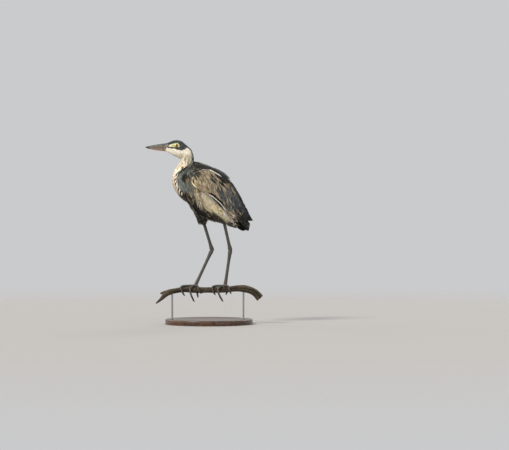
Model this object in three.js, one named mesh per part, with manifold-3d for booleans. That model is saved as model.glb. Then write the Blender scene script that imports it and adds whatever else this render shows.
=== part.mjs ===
// A life-size black-headed heron in young plumage, standing on a cut length of dead branch
// that two short rods hold above a round display base. Millimetres, +Z up, the bird faces -Y.
import * as THREE from "three";
import { mergeVertices } from "three/addons/utils/BufferGeometryUtils.js";
import Module from "manifold-3d";

const wasm = await Module();
wasm.setup();

// ---- Driving dimensions -------------------------------------------------------------------

const GAP = 0.35; // clearance between neighbouring solids
const BASE_RADIUS = 190;
const BASE_HEIGHT = 22;
const PERCH_HEIGHT = 148; // of the branch's middle where the feet stand
const PERCH_RADIUS = 13; // there
const PERCH_HEADING = THREE.MathUtils.degToRad(58); // the branch runs across the bird's heading
const ROD_RADIUS = 4;
const ROD_INTO_WOOD = 8;
const SHOULDER = new THREE.Vector3(0, -101, 624); // origin of the trunk's own frame
const BODY_PITCH = THREE.MathUtils.degToRad(30); // the back slopes down to the tail
const HEAD_PIVOT = new THREE.Vector3(0, -107.5, 750); // where the skull sits on the neck
const HEAD_TURN = THREE.MathUtils.degToRad(25); // the head looks to the bird's right
const EYE_RADIUS = 8.6;
const WING_THICKNESS = 12; // of the folded wing's feathers at its front

const X = new THREE.Vector3(1, 0, 0);
const Z = new THREE.Vector3(0, 0, 1);

// ---- Frames of the parts ------------------------------------------------------------------

const BACKWARD = new THREE.Vector3(0, Math.cos(BODY_PITCH), -Math.sin(BODY_PITCH));
const UPWARD = new THREE.Vector3(0, Math.sin(BODY_PITCH), Math.cos(BODY_PITCH));
const BILLWARD = new THREE.Vector3(-Math.sin(HEAD_TURN), -Math.cos(HEAD_TURN), 0);
const HEAD_LEFT = new THREE.Vector3(Math.cos(HEAD_TURN), -Math.sin(HEAD_TURN), 0);
const ALONG_PERCH = new THREE.Vector3(Math.cos(PERCH_HEADING), Math.sin(PERCH_HEADING), 0);
const OFF_PERCH = new THREE.Vector3(Math.sin(PERCH_HEADING), -Math.cos(PERCH_HEADING), 0);

// A point of the trunk's frame: x to the left, a along the back, h above the body's axis.
function onBody(x, a, h) {
  return SHOULDER.clone().addScaledVector(X, x).addScaledVector(BACKWARD, a).addScaledVector(UPWARD, h);
}

// A point of the head's frame: x to the left, s towards the bill's tip, h up.
function onHead(x, s, h) {
  const level = HEAD_PIVOT.clone().addScaledVector(Z, h);
  return level.addScaledVector(HEAD_LEFT, x).addScaledVector(BILLWARD, s);
}

// A point of the perch's frame: q along the branch, k off its front side, z above the floor.
function onPerch(q, k, z) {
  return new THREE.Vector3(0, 0, z).addScaledVector(ALONG_PERCH, q).addScaledVector(OFF_PERCH, k);
}

// ---- Shape tools --------------------------------------------------------------------------

// A closed form through stations [place, half width, half height above, half height below].
// Its sections face along the spine, or keep one frame where up is given.
function loft({ stations, side = X, up = null, around = 16, rings = 16, fold = null, grow = 0 }) {
  const spine = new THREE.CatmullRomCurve3(stations.map((station) => station[0]));
  const sizes = stations.map((station) => new THREE.Vector3(...station.slice(1)));
  const girth = new THREE.CatmullRomCurve3(sizes);
  const shape = new THREE.SphereGeometry(1, around, rings + 1);
  const position = shape.attributes.position;
  for (let ring = 0; ring <= rings + 1; ring += 1) {
    const t = THREE.MathUtils.clamp((ring - 1) / (rings - 1), 0, 1);
    const tangent = spine.getTangent(t);
    const across = up ? side : side.clone().addScaledVector(tangent, -side.dot(tangent)).normalize();
    const above = up ?? new THREE.Vector3().crossVectors(across, tangent).negate();
    const size = girth.getPoint(t);
    const pole = ring === 0 || ring === rings + 1;
    const end = ring <= 1 ? -grow : ring >= rings ? grow : 0;
    const centre = spine.getPoint(t).addScaledVector(tangent, end);
    for (let step = 0; step <= around; step += 1) {
      const angle = (2 * Math.PI * step) / around;
      const sine = Math.sin(angle);
      let wide = pole ? 0 : Math.cos(angle) * (size.x + grow);
      let high = pole ? 0 : sine * ((sine > 0 ? size.y : size.z) + grow);
      if (fold) [wide, high] = fold(wide, high, t, angle, size);
      const place = centre.clone().addScaledVector(across, wide).addScaledVector(above, high);
      position.setXYZ(ring * (around + 1) + step, place.x, place.y, place.z);
    }
  }
  return solidOf(shape);
}

// A three.js geometry as a manifold-3d solid, turned outside out if it has to be.
function solidOf(geometry) {
  const bare = geometry.index ? geometry.toNonIndexed() : geometry.clone();
  bare.deleteAttribute("normal");
  bare.deleteAttribute("uv");
  const merged = mergeVertices(bare, 1e-3);
  const corners = Array.from(merged.index.array);
  const triangles = [];
  for (let i = 0; i < corners.length; i += 3) {
    const [a, b, c] = corners.slice(i, i + 3);
    if (a !== b && b !== c && c !== a) triangles.push(a, b, c);
  }
  const vertProperties = merged.attributes.position.array;
  const make = (order) => {
    const triVerts = new Uint32Array(order);
    return new wasm.Manifold(new wasm.Mesh({ numProp: 3, vertProperties, triVerts }));
  };
  const made = make(triangles);
  return made.volume() > 0 ? made : make(triangles.reverse());
}

function cut(solid, ...cutters) {
  return cutters.reduce((left, cutter) => left.subtract(cutter), solid);
}

function join(...solids) {
  return solids.reduce((sum, solid) => sum.add(solid));
}

// The largest body of a solid, so that slivers left by a cut are dropped.
function mainBody(solid) {
  return solid.decompose().reduce((best, body) => (body.volume() > best.volume() ? body : best));
}

const FINISHES = {
  plumage: { color: 0x8d8478, roughness: 0.9 },
  mantle: { color: 0x4c4a48, roughness: 0.9 },
  quill: { color: 0x2b2c2e, roughness: 0.7 },
  cap: { color: 0x3a3d40, roughness: 0.85 },
  bill: { color: 0x6d6a5c, roughness: 0.5 },
  eye: { color: 0xd9b23c, roughness: 0.1 },
  leg: { color: 0x55504a, roughness: 0.6 },
  claw: { color: 0x1f1c1a, roughness: 0.4 },
  bark: { color: 0x6e5f4e, roughness: 0.95 },
  base: { color: 0x3a2a1e, roughness: 0.4 },
  steel: { color: 0xb4b4b0, roughness: 0.35, metalness: 1 },
};

// A named mesh whose geometry is kept about its own origin.
function part(name, solid, finish, origin = new THREE.Vector3()) {
  const mesh = mainBody(solid).getMesh();
  const geometry = new THREE.BufferGeometry();
  geometry.setAttribute("position", new THREE.BufferAttribute(new Float32Array(mesh.vertProperties), 3));
  geometry.setIndex(new THREE.BufferAttribute(new Uint32Array(mesh.triVerts), 1));
  geometry.translate(-origin.x, -origin.y, -origin.z);
  const made = new THREE.Mesh(geometry, new THREE.MeshStandardMaterial(FINISHES[finish]));
  made.name = name;
  made.position.copy(origin);
  return made;
}

// ---- Trunk --------------------------------------------------------------------------------

// Rows are [a, top, bottom, half width] in the trunk's frame, from the breast to the vent.
const TRUNK_ROWS = [
  [-44, 44, 16, 8],
  [-33, 68, -12, 26],
  [-14, 86, -40, 40],
  [14, 98, -66, 50],
  [54, 107, -88, 59],
  [100, 109, -100, 62],
  [150, 103, -99, 58],
  [196, 87, -91, 47],
  [238, 66, -80, 36],
  [278, 41, -71, 25],
  [310, 14, -62, 13],
];

function bodyForm(rows, grow) {
  const stations = rows.map(([a, top, bottom, wide]) => {
    const half = (top - bottom) / 2;
    return [onBody(0, a, (top + bottom) / 2), wide, half, half];
  });
  return loft({ stations, up: UPWARD, around: 18, rings: 16, grow });
}

const trunkForm = (grow = 0) => bodyForm(TRUNK_ROWS, grow);

// ---- Neck ---------------------------------------------------------------------------------

// Rows are [y, z, radius] in the plane of symmetry, from the skull down into the breast.
const NECK_ROWS = [
  [-122, 757, 17],
  [-109, 738, 25],
  [-104, 715, 27],
  [-111, 691, 28],
  [-132, 665, 29],
  [-147, 634, 29.5],
  [-136, 598, 32],
  [-104, 562, 32],
  [-56, 536, 24],
];
const NECK_NARROWNESS = 0.93; // a neck is a little deeper than it is wide
const NECK_SPLIT = new THREE.Vector3(0, -122, 677); // the kink, where the two lengths part
const NECK_SPLIT_FACE = new THREE.Vector3(0, 0.72, 0.69).normalize();

function neckForm(grow = 0) {
  const stations = NECK_ROWS.map(([y, z, radius]) => [
    new THREE.Vector3(0, y, z),
    radius * NECK_NARROWNESS,
    radius,
    radius,
  ]);
  return loft({ stations, around: 14, rings: 18, grow });
}

// A big block on one side of a plane, to part a form with a thin cut.
function halfSpace(point, normal, offset) {
  const size = 400;
  const block = new THREE.BoxGeometry(size, size, size);
  block.translate(0, 0, size / 2 + offset);
  block.applyQuaternion(new THREE.Quaternion().setFromUnitVectors(Z, normal));
  block.translate(point.x, point.y, point.z);
  return solidOf(block);
}

// ---- Head and bill ------------------------------------------------------------------------

// Rows are [s, top, bottom, half width] in the head's frame, from the nape to the bill's base.
const HEAD_ROWS = [
  [-21, 1, -22, 11],
  [-11, 14, -37, 18],
  [6, 28, -43, 22.5],
  [22, 42, -38, 23.5],
  [40, 47.5, -29, 22.5],
  [57, 46, -20, 19.5],
  [72, 41, -12.5, 15],
  [86, 34, -6, 11],
  [96, 30.5, -1, 8.5],
];
const MOUTH_LINE = 15.4;
// Rows are [s, culmen, half width] and [s, lower edge, half width].
const UPPER_BILL_ROWS = [
  [66, 33, 7.5],
  [84, 33.4, 9.4],
  [104, 30, 8.3],
  [124, 26.4, 6.9],
  [144, 22.8, 5.1],
  [164, 19.4, 3],
  [183, 16.4, 0.7],
];
const LOWER_BILL_ROWS = [
  [62, 0.5, 7],
  [84, 0, 9],
  [104, 2.4, 7.8],
  [124, 5, 6.3],
  [144, 8, 4.5],
  [162, 11.2, 2.5],
  [179, 14.4, 0.6],
];
const MOUTH_EDGE = 0.4; // half height of a mandible at its cutting edge
const EYE_CENTRE = [12.8, 46, 22];

function headForm(grow = 0) {
  const stations = HEAD_ROWS.map(([s, top, bottom, wide]) => {
    const half = (top - bottom) / 2;
    return [onHead(0, s, (top + bottom) / 2), wide, half, half];
  });
  return loft({ stations, side: HEAD_LEFT, up: Z, around: 16, rings: 12, grow });
}

function upperBill(grow = 0) {
  const middle = MOUTH_LINE + MOUTH_EDGE + GAP / 2;
  const stations = UPPER_BILL_ROWS.map(([s, culmen, wide]) => [
    onHead(0, s, middle),
    wide,
    Math.max(culmen - middle, MOUTH_EDGE),
    MOUTH_EDGE,
  ]);
  return loft({ stations, side: HEAD_LEFT, up: Z, around: 8, rings: 9, grow });
}

function lowerBill(grow = 0) {
  const middle = MOUTH_LINE - MOUTH_EDGE - GAP / 2;
  const stations = LOWER_BILL_ROWS.map(([s, edge, wide]) => [
    onHead(0, s, middle),
    wide,
    MOUTH_EDGE,
    Math.max(middle - edge, MOUTH_EDGE),
  ]);
  return loft({ stations, side: HEAD_LEFT, up: Z, around: 8, rings: 9, grow });
}

function eyeBall(sign, grow = 0) {
  const [x, s, h] = EYE_CENTRE;
  const ball = new THREE.SphereGeometry(EYE_RADIUS + grow, 12, 8);
  const centre = onHead(sign * x, s, h);
  ball.translate(centre.x, centre.y, centre.z);
  return solidOf(ball);
}

// ---- Wings --------------------------------------------------------------------------------

// The folded wing's upper and lower edges, as [a, h] in the trunk's frame, wrist to tip.
const WING_UPPER_EDGE = [
  [-13, 9],
  [-5, 34],
  [14, 58],
  [50, 78],
  [108, 84],
  [158, 92],
  [200, 93],
  [244, 76],
  [282, 55],
  [322, 29],
  [363, 8],
];
const WING_LOWER_EDGE = [
  [-13, 3],
  [-6, -12],
  [12, -24],
  [50, -25],
  [104, -19],
  [158, -25],
  [204, -37],
  [240, -40],
  [276, -33],
  [320, -14],
  [363, 4],
];
// The round that the wing lies on: [a, middle h, half height, half width].
const WING_ROUND = [
  [-13, 8, 72, 55],
  [14, 6, 92, 66],
  [50, 4, 102, 71],
  [104, 1, 108, 74],
  [158, -1, 99, 71],
  [200, -2, 95.4, 61],
  [244, -2, 78.4, 50],
  [282, 2, 53.4, 38],
  [322, 5, 24.4, 25],
  [364, 6, 4, 12],
];

// Value of column i of rows at a, on straight lines between them.
function alongRows(rows, a, i) {
  const next = Math.max(1, rows.findIndex((row) => row[0] >= a));
  const [low, high] = a >= rows.at(-1)[0] ? rows.slice(-2) : [rows[next - 1], rows[next]];
  return THREE.MathUtils.mapLinear(a, low[0], high[0], low[i], high[i]);
}

function wingForm(sign, grow = 0) {
  const around = 14;
  const rings = 17;
  const upper = new THREE.SplineCurve(WING_UPPER_EDGE.map(([a, h]) => new THREE.Vector2(a, h)));
  const lower = new THREE.SplineCurve(WING_LOWER_EDGE.map(([a, h]) => new THREE.Vector2(a, h)));
  const shape = new THREE.SphereGeometry(1, around, rings);
  const position = shape.attributes.position;
  for (let ring = 0; ring <= rings; ring += 1) {
    const t = ring / rings;
    const above = upper.getPoint(t);
    const below = lower.getPoint(t);
    const pole = ring === 0 || ring === rings;
    const thick = (THREE.MathUtils.lerp(WING_THICKNESS, WING_THICKNESS * 0.45, t) + 2 * grow) / 2;
    for (let step = 0; step <= around; step += 1) {
      const angle = (2 * Math.PI * step) / around;
      const spread = (1 - Math.cos(angle)) / 2;
      const point = above.clone().lerp(below, pole ? 0.5 : spread);
      if (!pole) point.y += grow * Math.cos(angle);
      const [middle, high, wide] = [1, 2, 3].map((i) => alongRows(WING_ROUND, point.x, i));
      const rise = THREE.MathUtils.clamp((point.y - middle) / high, -0.99, 0.99);
      const skin = wide * Math.sqrt(1 - rise * rise);
      const lens = pole ? 0 : thick * Math.sign(Math.sin(angle)) * Math.abs(Math.sin(angle)) ** 0.6;
      const place = onBody(sign * (skin - thick + lens), point.x, point.y);
      position.setXYZ(ring * (around + 1) + step, place.x, place.y, place.z);
    }
  }
  return solidOf(shape);
}

// ---- Tail ---------------------------------------------------------------------------------

// Rows are [a, ridge h, half width, half thickness]; the closed tail is a steep roof.
const TAIL_ROWS = [
  [200, 16, 12, 9],
  [240, 9, 17, 9],
  [280, 1, 22, 8],
  [320, -5, 25, 6],
  [352, -10, 26, 4.5],
  [362, -13, 22, 3],
];
const TAIL_DROP = 1.5; // how far the roof falls for each millimetre of half width
const TAIL_FILL = 0.6; // how far the coverts fill the hollow under the roof

function tailForm(grow = 0) {
  const stations = TAIL_ROWS.map(([a, ridge, wide, thick]) => [onBody(0, a, ridge), wide, thick, thick]);
  const fold = (wide, high, t, angle, size) => {
    const fill = high < 0 ? TAIL_FILL : 0;
    return [wide, high - TAIL_DROP * THREE.MathUtils.lerp(Math.abs(wide), size.x, fill)];
  };
  return loft({ stations, up: UPWARD, around: 14, rings: 8, fold, grow });
}

// ---- Legs ---------------------------------------------------------------------------------

// Each leg: thigh stations [x, y, z, radius], then the ankle and the foot's place on the perch.
const LEGS = {
  left: {
    sign: 1,
    thigh: [
      [34, 6, 520, 30],
      [36, 30, 486, 29],
      [36, 51, 458, 21],
      [36, 62, 436, 10],
    ],
    ankle: [36, 86, 321],
    stand: 71,
  },
  right: {
    sign: -1,
    thigh: [
      [-34, -34, 520, 31],
      [-37, -23, 486, 30],
      [-37, -12, 458, 22],
      [-35, -2, 434, 11],
    ],
    ankle: [-33, 33, 322],
    stand: -57,
  },
};
const THIGH_NARROWNESS = 0.8;
const TIBIA_RADIUS = 5.4;
const ANKLE_RADIUS = 9;
const SHANK_RADIUS = 5.6;
const FOOT_HEIGHT = 172; // of the joint where the toes meet

function limb(points, around, rings, side, grow = 0) {
  const stations = points.map(([place, wide, deep]) => [place, wide, deep ?? wide, deep ?? wide]);
  return loft({ stations, side, around, rings, grow });
}

function thighForm(leg, grow = 0) {
  const points = leg.thigh.map(([x, y, z, radius]) => {
    return [new THREE.Vector3(x, y, z), radius * THIGH_NARROWNESS, radius];
  });
  return limb(points, 11, 8, X, grow);
}

// Points between two places, with the radius at each share of the way.
function between(from, to, radii) {
  return radii.map(([share, wide, deep]) => [from.clone().lerp(to, share), wide, deep]);
}

function tibiaForm(leg, grow = 0) {
  const [x, y, z] = leg.thigh[2];
  const top = new THREE.Vector3(x, y, z);
  const ankle = new THREE.Vector3(...leg.ankle);
  const radii = [
    [0, TIBIA_RADIUS * 1.15],
    [0.3, TIBIA_RADIUS * 1.05],
    [0.6, TIBIA_RADIUS],
    [0.82, TIBIA_RADIUS * 1.12],
    [0.95, ANKLE_RADIUS * 0.86, ANKLE_RADIUS],
    [1.02, ANKLE_RADIUS * 0.84, ANKLE_RADIUS * 0.9],
  ];
  return limb(between(top, ankle, radii), 8, 9, X, grow);
}

function shankForm(leg, grow = 0) {
  const ankle = new THREE.Vector3(...leg.ankle);
  const foot = onPerch(leg.stand, 0, FOOT_HEIGHT);
  const radii = [
    [-0.03, ANKLE_RADIUS * 0.6],
    [0.05, ANKLE_RADIUS * 0.84, ANKLE_RADIUS],
    [0.14, SHANK_RADIUS * 1.15, SHANK_RADIUS * 1.3],
    [0.35, SHANK_RADIUS * 0.9, SHANK_RADIUS],
    [0.75, SHANK_RADIUS * 0.92, SHANK_RADIUS],
    [0.92, SHANK_RADIUS * 1.2, SHANK_RADIUS * 1.15],
    [1.02, SHANK_RADIUS * 1.5, SHANK_RADIUS * 1.2],
  ];
  return limb(between(ankle, foot, radii), 8, 11, X, grow);
}

// A toe runs out along the perch while it wraps down round its front or back. reach: how far it
// runs along the perch, drift: how far its tip comes back from there, wrap: degrees round the perch
// at its tip, late: how long it stays on top first, droop: how far the tip hangs off the wood.
const TOES = {
  left: {
    inner: { reach: -56, drift: 10, wrap: 138, late: 1.9, droop: 5 },
    middle: { reach: -31, drift: 18, wrap: 160, late: 1.15, droop: 24 },
    outer: { reach: 17, drift: 6, wrap: 122, late: 1.3, droop: 3 },
    hind: { reach: 7, drift: -3, wrap: -150, late: 1, droop: 2 },
  },
  right: {
    inner: { reach: 11, drift: 9, wrap: 122, late: 1.3, droop: 3 },
    middle: { reach: -24, drift: 15, wrap: 160, late: 1.15, droop: 25 },
    outer: { reach: -65, drift: 13, wrap: 142, late: 2, droop: 8 },
    hind: { reach: 4, drift: 4, wrap: -166, late: 1, droop: 9 },
  },
};
const TOE_ROOT_RADIUS = 4.1;
const TOE_TIP_RADIUS = 2.9;
const TOE_TURN = 0.6; // share of a toe's length where it reaches furthest along the perch
const DROOP_FROM = 50; // degrees round the perch where a toe begins to leave the wood
const CLAW_LENGTH = 9;
const CLAW_RADIUS = 2.2;
const CLAW_POINT_RADIUS = 0.5;

// A point at a share t of a toe's length.
function onToe(side, { reach, drift, wrap, late, droop }, t) {
  const out = Math.sin((Math.PI / 2) * Math.min(t / TOE_TURN, 1));
  const back = Math.max(0, (t - TOE_TURN) / (1 - TOE_TURN)) ** 2;
  const turned = wrap * t ** late;
  const hang = droop * (Math.max(0, Math.abs(turned) - DROOP_FROM) / 100) ** 2;
  const radius = PERCH_RADIUS + TOE_ROOT_RADIUS + 0.6 + 1.2 * (1 - t) + hang;
  const angle = THREE.MathUtils.degToRad(turned);
  const q = LEGS[side].stand + reach * out + drift * back;
  return onPerch(q, radius * Math.sin(angle), PERCH_HEIGHT + radius * Math.cos(angle));
}

function toeForm(side, name, grow = 0) {
  const steps = 6;
  const points = [];
  for (let i = 0; i <= steps; i += 1) {
    const t = i / steps;
    const radius = THREE.MathUtils.lerp(TOE_ROOT_RADIUS, TOE_TIP_RADIUS, t);
    points.push([onToe(side, TOES[side][name], t), radius]);
  }
  return limb(points, 6, 9, ALONG_PERCH, grow);
}

// A claw carries on from the toe's tip and hooks in towards the wood.
function clawForm(side, name, grow = 0) {
  const toe = TOES[side][name];
  const tip = onToe(side, toe, 1);
  const ahead = tip.clone().sub(onToe(side, toe, 0.9)).normalize();
  const wood = onPerch(LEGS[side].stand + toe.reach + toe.drift, 0, PERCH_HEIGHT);
  const hook = wood.sub(tip).projectOnPlane(ahead).normalize();
  const along = (forth, inward) => tip.clone().addScaledVector(ahead, forth).addScaledVector(hook, inward);
  const points = [
    [along(-3, 0), CLAW_RADIUS * 0.9],
    [along(1, 0), CLAW_RADIUS],
    [along(CLAW_LENGTH * 0.6, CLAW_LENGTH * 0.12), CLAW_RADIUS * 0.72],
    [along(CLAW_LENGTH, CLAW_LENGTH * 0.5), CLAW_POINT_RADIUS],
  ];
  return limb(points, 5, 5, ALONG_PERCH, grow);
}

// The pad where the toes meet under the shank.
function padForm(side, grow = 0) {
  const stand = LEGS[side].stand;
  const pad = new THREE.SphereGeometry(1, 10, 7);
  pad.scale(8.5 + grow, 8 + grow, 6.5 + grow);
  const centre = onPerch(stand, 1, PERCH_HEIGHT + PERCH_RADIUS + 6);
  pad.translate(centre.x, centre.y, centre.z);
  return solidOf(pad);
}

// ---- Perch --------------------------------------------------------------------------------

// Rows are [q, k, z, radius] from the sawn end to the broken fork.
const PERCH_ROWS = [
  [222, -12, 112, 17],
  [202, -10, 134, 16.6],
  [176, -7, 148, 16],
  [146, -4, 154.5, 15],
  [112, -1, 154, 13.8],
  [72, 0, 149, PERCH_RADIUS],
  [0, 0, PERCH_HEIGHT, PERCH_RADIUS],
  [-66, 0, PERCH_HEIGHT, PERCH_RADIUS],
  [-110, -1, 150, 12.4],
  [-146, 2, 145, 12],
  [-176, 4, 138, 12.6],
  [-193, 6, 124, 11],
  [-207, 8, 109, 7.5],
  [-220, 9, 98, 5],
  [-231, 9, 90, 2.6],
];
const SNAG_ROWS = [
  [-172, 3, 140, 10],
  [-196, 1, 136, 7.5],
  [-206, -1, 134, 4.6],
  [-213, -2, 132.5, 2],
];

// Shallow lumps and hollows of weathered wood: a share of the radius.
function lumps(t, angle) {
  return 0.03 * Math.sin(22 * t + 2 * angle) + 0.02 * Math.sin(19 * t + 3 * angle + 1);
}

function branch(rows, grow) {
  const stations = rows.map(([q, k, z, radius]) => [onPerch(q, k, z), radius, radius, radius]);
  const fold = (wide, high, t, angle) => [wide, high].map((size) => size * (1 + lumps(t, angle)));
  return loft({ stations, side: OFF_PERCH, around: 9, rings: Math.round(1.7 * rows.length), fold, grow });
}

function perchForm(grow = 0) {
  return join(branch(PERCH_ROWS, grow), branch(SNAG_ROWS, grow));
}

// ---- Stand --------------------------------------------------------------------------------

// Each rod: its place along the branch and the height where it ends inside the wood.
const RODS = [
  { q: -160, k: 3, top: 131 + ROD_INTO_WOOD },
  { q: 150, k: -4, top: 140 + ROD_INTO_WOOD },
];
const COLLAR_RADIUS = 11;
const COLLAR_HEIGHT = 5;

function rodForm({ q, k, top }, grow = 0) {
  const bottom = BASE_HEIGHT - ROD_INTO_WOOD;
  const rod = new THREE.CylinderGeometry(ROD_RADIUS + grow, ROD_RADIUS + grow, top - bottom + 2 * grow, 14);
  rod.rotateX(Math.PI / 2);
  const middle = onPerch(q, k, (top + bottom) / 2);
  rod.translate(middle.x, middle.y, middle.z);
  return solidOf(rod);
}

// A turned disc: a flat foot, an upright edge and a rounded shoulder.
function baseForm() {
  const shoulder = 5;
  const chamfer = 2;
  const outline = [
    new THREE.Vector2(0, 0),
    new THREE.Vector2(BASE_RADIUS - chamfer, 0),
    new THREE.Vector2(BASE_RADIUS, chamfer),
  ];
  for (let step = 0; step <= 2; step += 1) {
    const angle = (Math.PI / 4) * step;
    const reach = BASE_RADIUS - shoulder + shoulder * Math.cos(angle);
    outline.push(new THREE.Vector2(reach, BASE_HEIGHT - shoulder + shoulder * Math.sin(angle)));
  }
  outline.push(new THREE.Vector2(0, BASE_HEIGHT));
  const disc = new THREE.LatheGeometry(outline, 32);
  disc.rotateX(Math.PI / 2);
  return solidOf(disc);
}

function collarForm({ q, k }) {
  const low = BASE_HEIGHT + GAP;
  const inner = ROD_RADIUS + GAP;
  const outline = [
    [inner, low],
    [COLLAR_RADIUS, low],
    [COLLAR_RADIUS * 0.8, low + COLLAR_HEIGHT],
    [inner, low + COLLAR_HEIGHT],
    [inner, low],
  ].map(([radius, height]) => new THREE.Vector2(radius, height));
  const ring = new THREE.LatheGeometry(outline, 14);
  ring.rotateX(Math.PI / 2);
  const place = onPerch(q, k, 0);
  ring.translate(place.x, place.y, 0);
  return solidOf(ring);
}

// ---- Assembly -----------------------------------------------------------------------------

const bird = new THREE.Group();
const head = new THREE.Group();
const wings = new THREE.Group();
const legs = new THREE.Group();
const stand = new THREE.Group();

const upperNeckSide = (offset) => halfSpace(NECK_SPLIT, NECK_SPLIT_FACE, offset);
const lowerNeckSide = (offset) => halfSpace(NECK_SPLIT, NECK_SPLIT_FACE.clone().negate(), offset);

bird.add(part("trunk", trunkForm(), "plumage", SHOULDER));
const neck = cut(neckForm(), trunkForm(GAP));
const lowerNeck = neck.intersect(lowerNeckSide(GAP / 2));
const upperNeck = neck.intersect(upperNeckSide(GAP / 2)).subtract(headForm(GAP));
bird.add(part("neck_lower", lowerNeck, "plumage", NECK_SPLIT));
bird.add(part("neck_upper", upperNeck, "plumage", NECK_SPLIT));

const bills = [upperBill(GAP), lowerBill(GAP)];
const headSolid = cut(headForm(), ...bills, eyeBall(1, GAP), eyeBall(-1, GAP), trunkForm(GAP));
head.add(part("head", headSolid, "cap", HEAD_PIVOT));
head.add(part("bill_upper", upperBill(), "bill", HEAD_PIVOT));
head.add(part("bill_lower", lowerBill(), "bill", HEAD_PIVOT));
head.add(part("eye_left", eyeBall(1), "eye", HEAD_PIVOT));
head.add(part("eye_right", eyeBall(-1), "eye", HEAD_PIVOT));

const bodyCutters = [trunkForm(GAP), neckForm(GAP)];
wings.add(part("wing_left", cut(wingForm(1), ...bodyCutters), "mantle", SHOULDER));
wings.add(part("wing_right", cut(wingForm(-1), ...bodyCutters, wingForm(1, GAP)), "mantle", SHOULDER));
const tail = cut(tailForm(), trunkForm(GAP), wingForm(1, GAP), wingForm(-1, GAP));
bird.add(part("tail", tail, "quill", SHOULDER));

for (const [side, leg] of Object.entries(LEGS)) {
  const footCutters = [padForm(side, GAP), perchForm(GAP)];
  const foot = onPerch(leg.stand, 0, FOOT_HEIGHT);
  const ankle = new THREE.Vector3(...leg.ankle);
  const wing = wingForm(leg.sign, GAP);
  legs.add(part(`thigh_${side}`, cut(thighForm(leg), trunkForm(GAP), wing), "plumage", ankle));
  legs.add(part(`shin_${side}`, cut(tibiaForm(leg), thighForm(leg, GAP), trunkForm(GAP)), "leg", ankle));
  legs.add(part(`shank_${side}`, cut(shankForm(leg), tibiaForm(leg, GAP), ...footCutters), "leg", ankle));
  legs.add(part(`foot_${side}`, cut(padForm(side), perchForm(GAP)), "leg", foot));
  const taken = [...footCutters, shankForm(leg, GAP)];
  for (const name of Object.keys(TOES[side])) {
    const toe = cut(toeForm(side, name), ...taken, clawForm(side, name, GAP));
    legs.add(part(`toe_${side}_${name}`, toe, "leg", foot));
    taken.push(toeForm(side, name, GAP));
    legs.add(part(`claw_${side}_${name}`, cut(clawForm(side, name), perchForm(GAP)), "claw", foot));
  }
}

const rodHoles = RODS.map((rod) => rodForm(rod, GAP));
const perch = part("perch", cut(perchForm(), ...rodHoles), "bark", onPerch(0, 0, PERCH_HEIGHT));
stand.add(part("stand_base", cut(baseForm(), ...rodHoles), "base"));
RODS.forEach((rod, i) => {
  stand.add(part(`stand_rod_${i + 1}`, rodForm(rod), "steel", onPerch(rod.q, rod.k, BASE_HEIGHT)));
  stand.add(part(`stand_collar_${i + 1}`, collarForm(rod), "steel", onPerch(rod.q, rod.k, BASE_HEIGHT)));
});

bird.add(head, wings, legs);
const model = new THREE.Group();
model.add(bird, perch, stand);

export default model;
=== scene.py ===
"""A life-size young black-headed heron on a cut branch, with its skin, coat, bill, eyes and stand."""

import collections
import contextlib
import functools
import math

import bmesh
import bpy
import numpy as np
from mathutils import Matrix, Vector
from mathutils.bvhtree import BVHTree


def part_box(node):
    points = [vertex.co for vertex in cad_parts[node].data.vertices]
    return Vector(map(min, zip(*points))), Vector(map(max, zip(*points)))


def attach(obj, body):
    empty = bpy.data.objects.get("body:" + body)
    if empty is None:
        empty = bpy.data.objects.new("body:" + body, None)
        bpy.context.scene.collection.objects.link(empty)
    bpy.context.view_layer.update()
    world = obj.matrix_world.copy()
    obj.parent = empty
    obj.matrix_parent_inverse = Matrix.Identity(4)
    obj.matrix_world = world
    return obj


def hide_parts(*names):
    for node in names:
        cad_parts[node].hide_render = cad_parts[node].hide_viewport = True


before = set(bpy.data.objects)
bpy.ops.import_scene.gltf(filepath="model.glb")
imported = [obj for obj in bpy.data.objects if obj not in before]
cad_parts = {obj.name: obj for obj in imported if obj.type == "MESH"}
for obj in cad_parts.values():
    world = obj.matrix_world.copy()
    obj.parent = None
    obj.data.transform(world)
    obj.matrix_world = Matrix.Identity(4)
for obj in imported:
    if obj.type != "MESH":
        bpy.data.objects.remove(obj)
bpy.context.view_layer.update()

bl_info = {
    "name": "Standing Heron",
    "version": (1, 0, 0),
    "blender": (4, 5, 0),
    "location": "View3D > Sidebar > Heron",
    "description": "Dresses the heron's solids with skin, feathers, horn, wood and steel",
    "category": "Object",
}

MM = 0.001
BODY = "root"
SIDES = {"left": 1, "right": -1}
TOES = ("inner", "middle", "outer", "hind")

# ---- Frames of the parts, in millimetres ----

SHOULDER = np.array([0, -101, 624.0])
BODY_PITCH = math.radians(30)
BACKWARD = np.array([0, math.cos(BODY_PITCH), -math.sin(BODY_PITCH)])
UPWARD = np.array([0, math.sin(BODY_PITCH), math.cos(BODY_PITCH)])
HEAD_PIVOT = np.array([0, -107.5, 750.0])
HEAD_TURN = math.radians(25)
BILLWARD = np.array([-math.sin(HEAD_TURN), -math.cos(HEAD_TURN), 0])
HEAD_LEFT = np.array([math.cos(HEAD_TURN), -math.sin(HEAD_TURN), 0])
LEFTWARD = np.array([1.0, 0, 0])
ZENITH = np.array([0, 0, 1.0])
PERCH_HEADING = math.radians(58)
ALONG_PERCH = np.array([math.cos(PERCH_HEADING), math.sin(PERCH_HEADING), 0])
OFF_PERCH = np.array([math.sin(PERCH_HEADING), -math.cos(PERCH_HEADING), 0])

# Rows are [y, z, radius], from the skull down into the breast.
NECK_ROWS = np.array([
    [-122, 757, 17], [-109, 738, 25], [-104, 715, 27], [-111, 691, 28], [-132, 665, 29],
    [-147, 634, 29.5], [-136, 598, 32], [-104, 562, 32], [-56, 536, 24],
])
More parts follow.
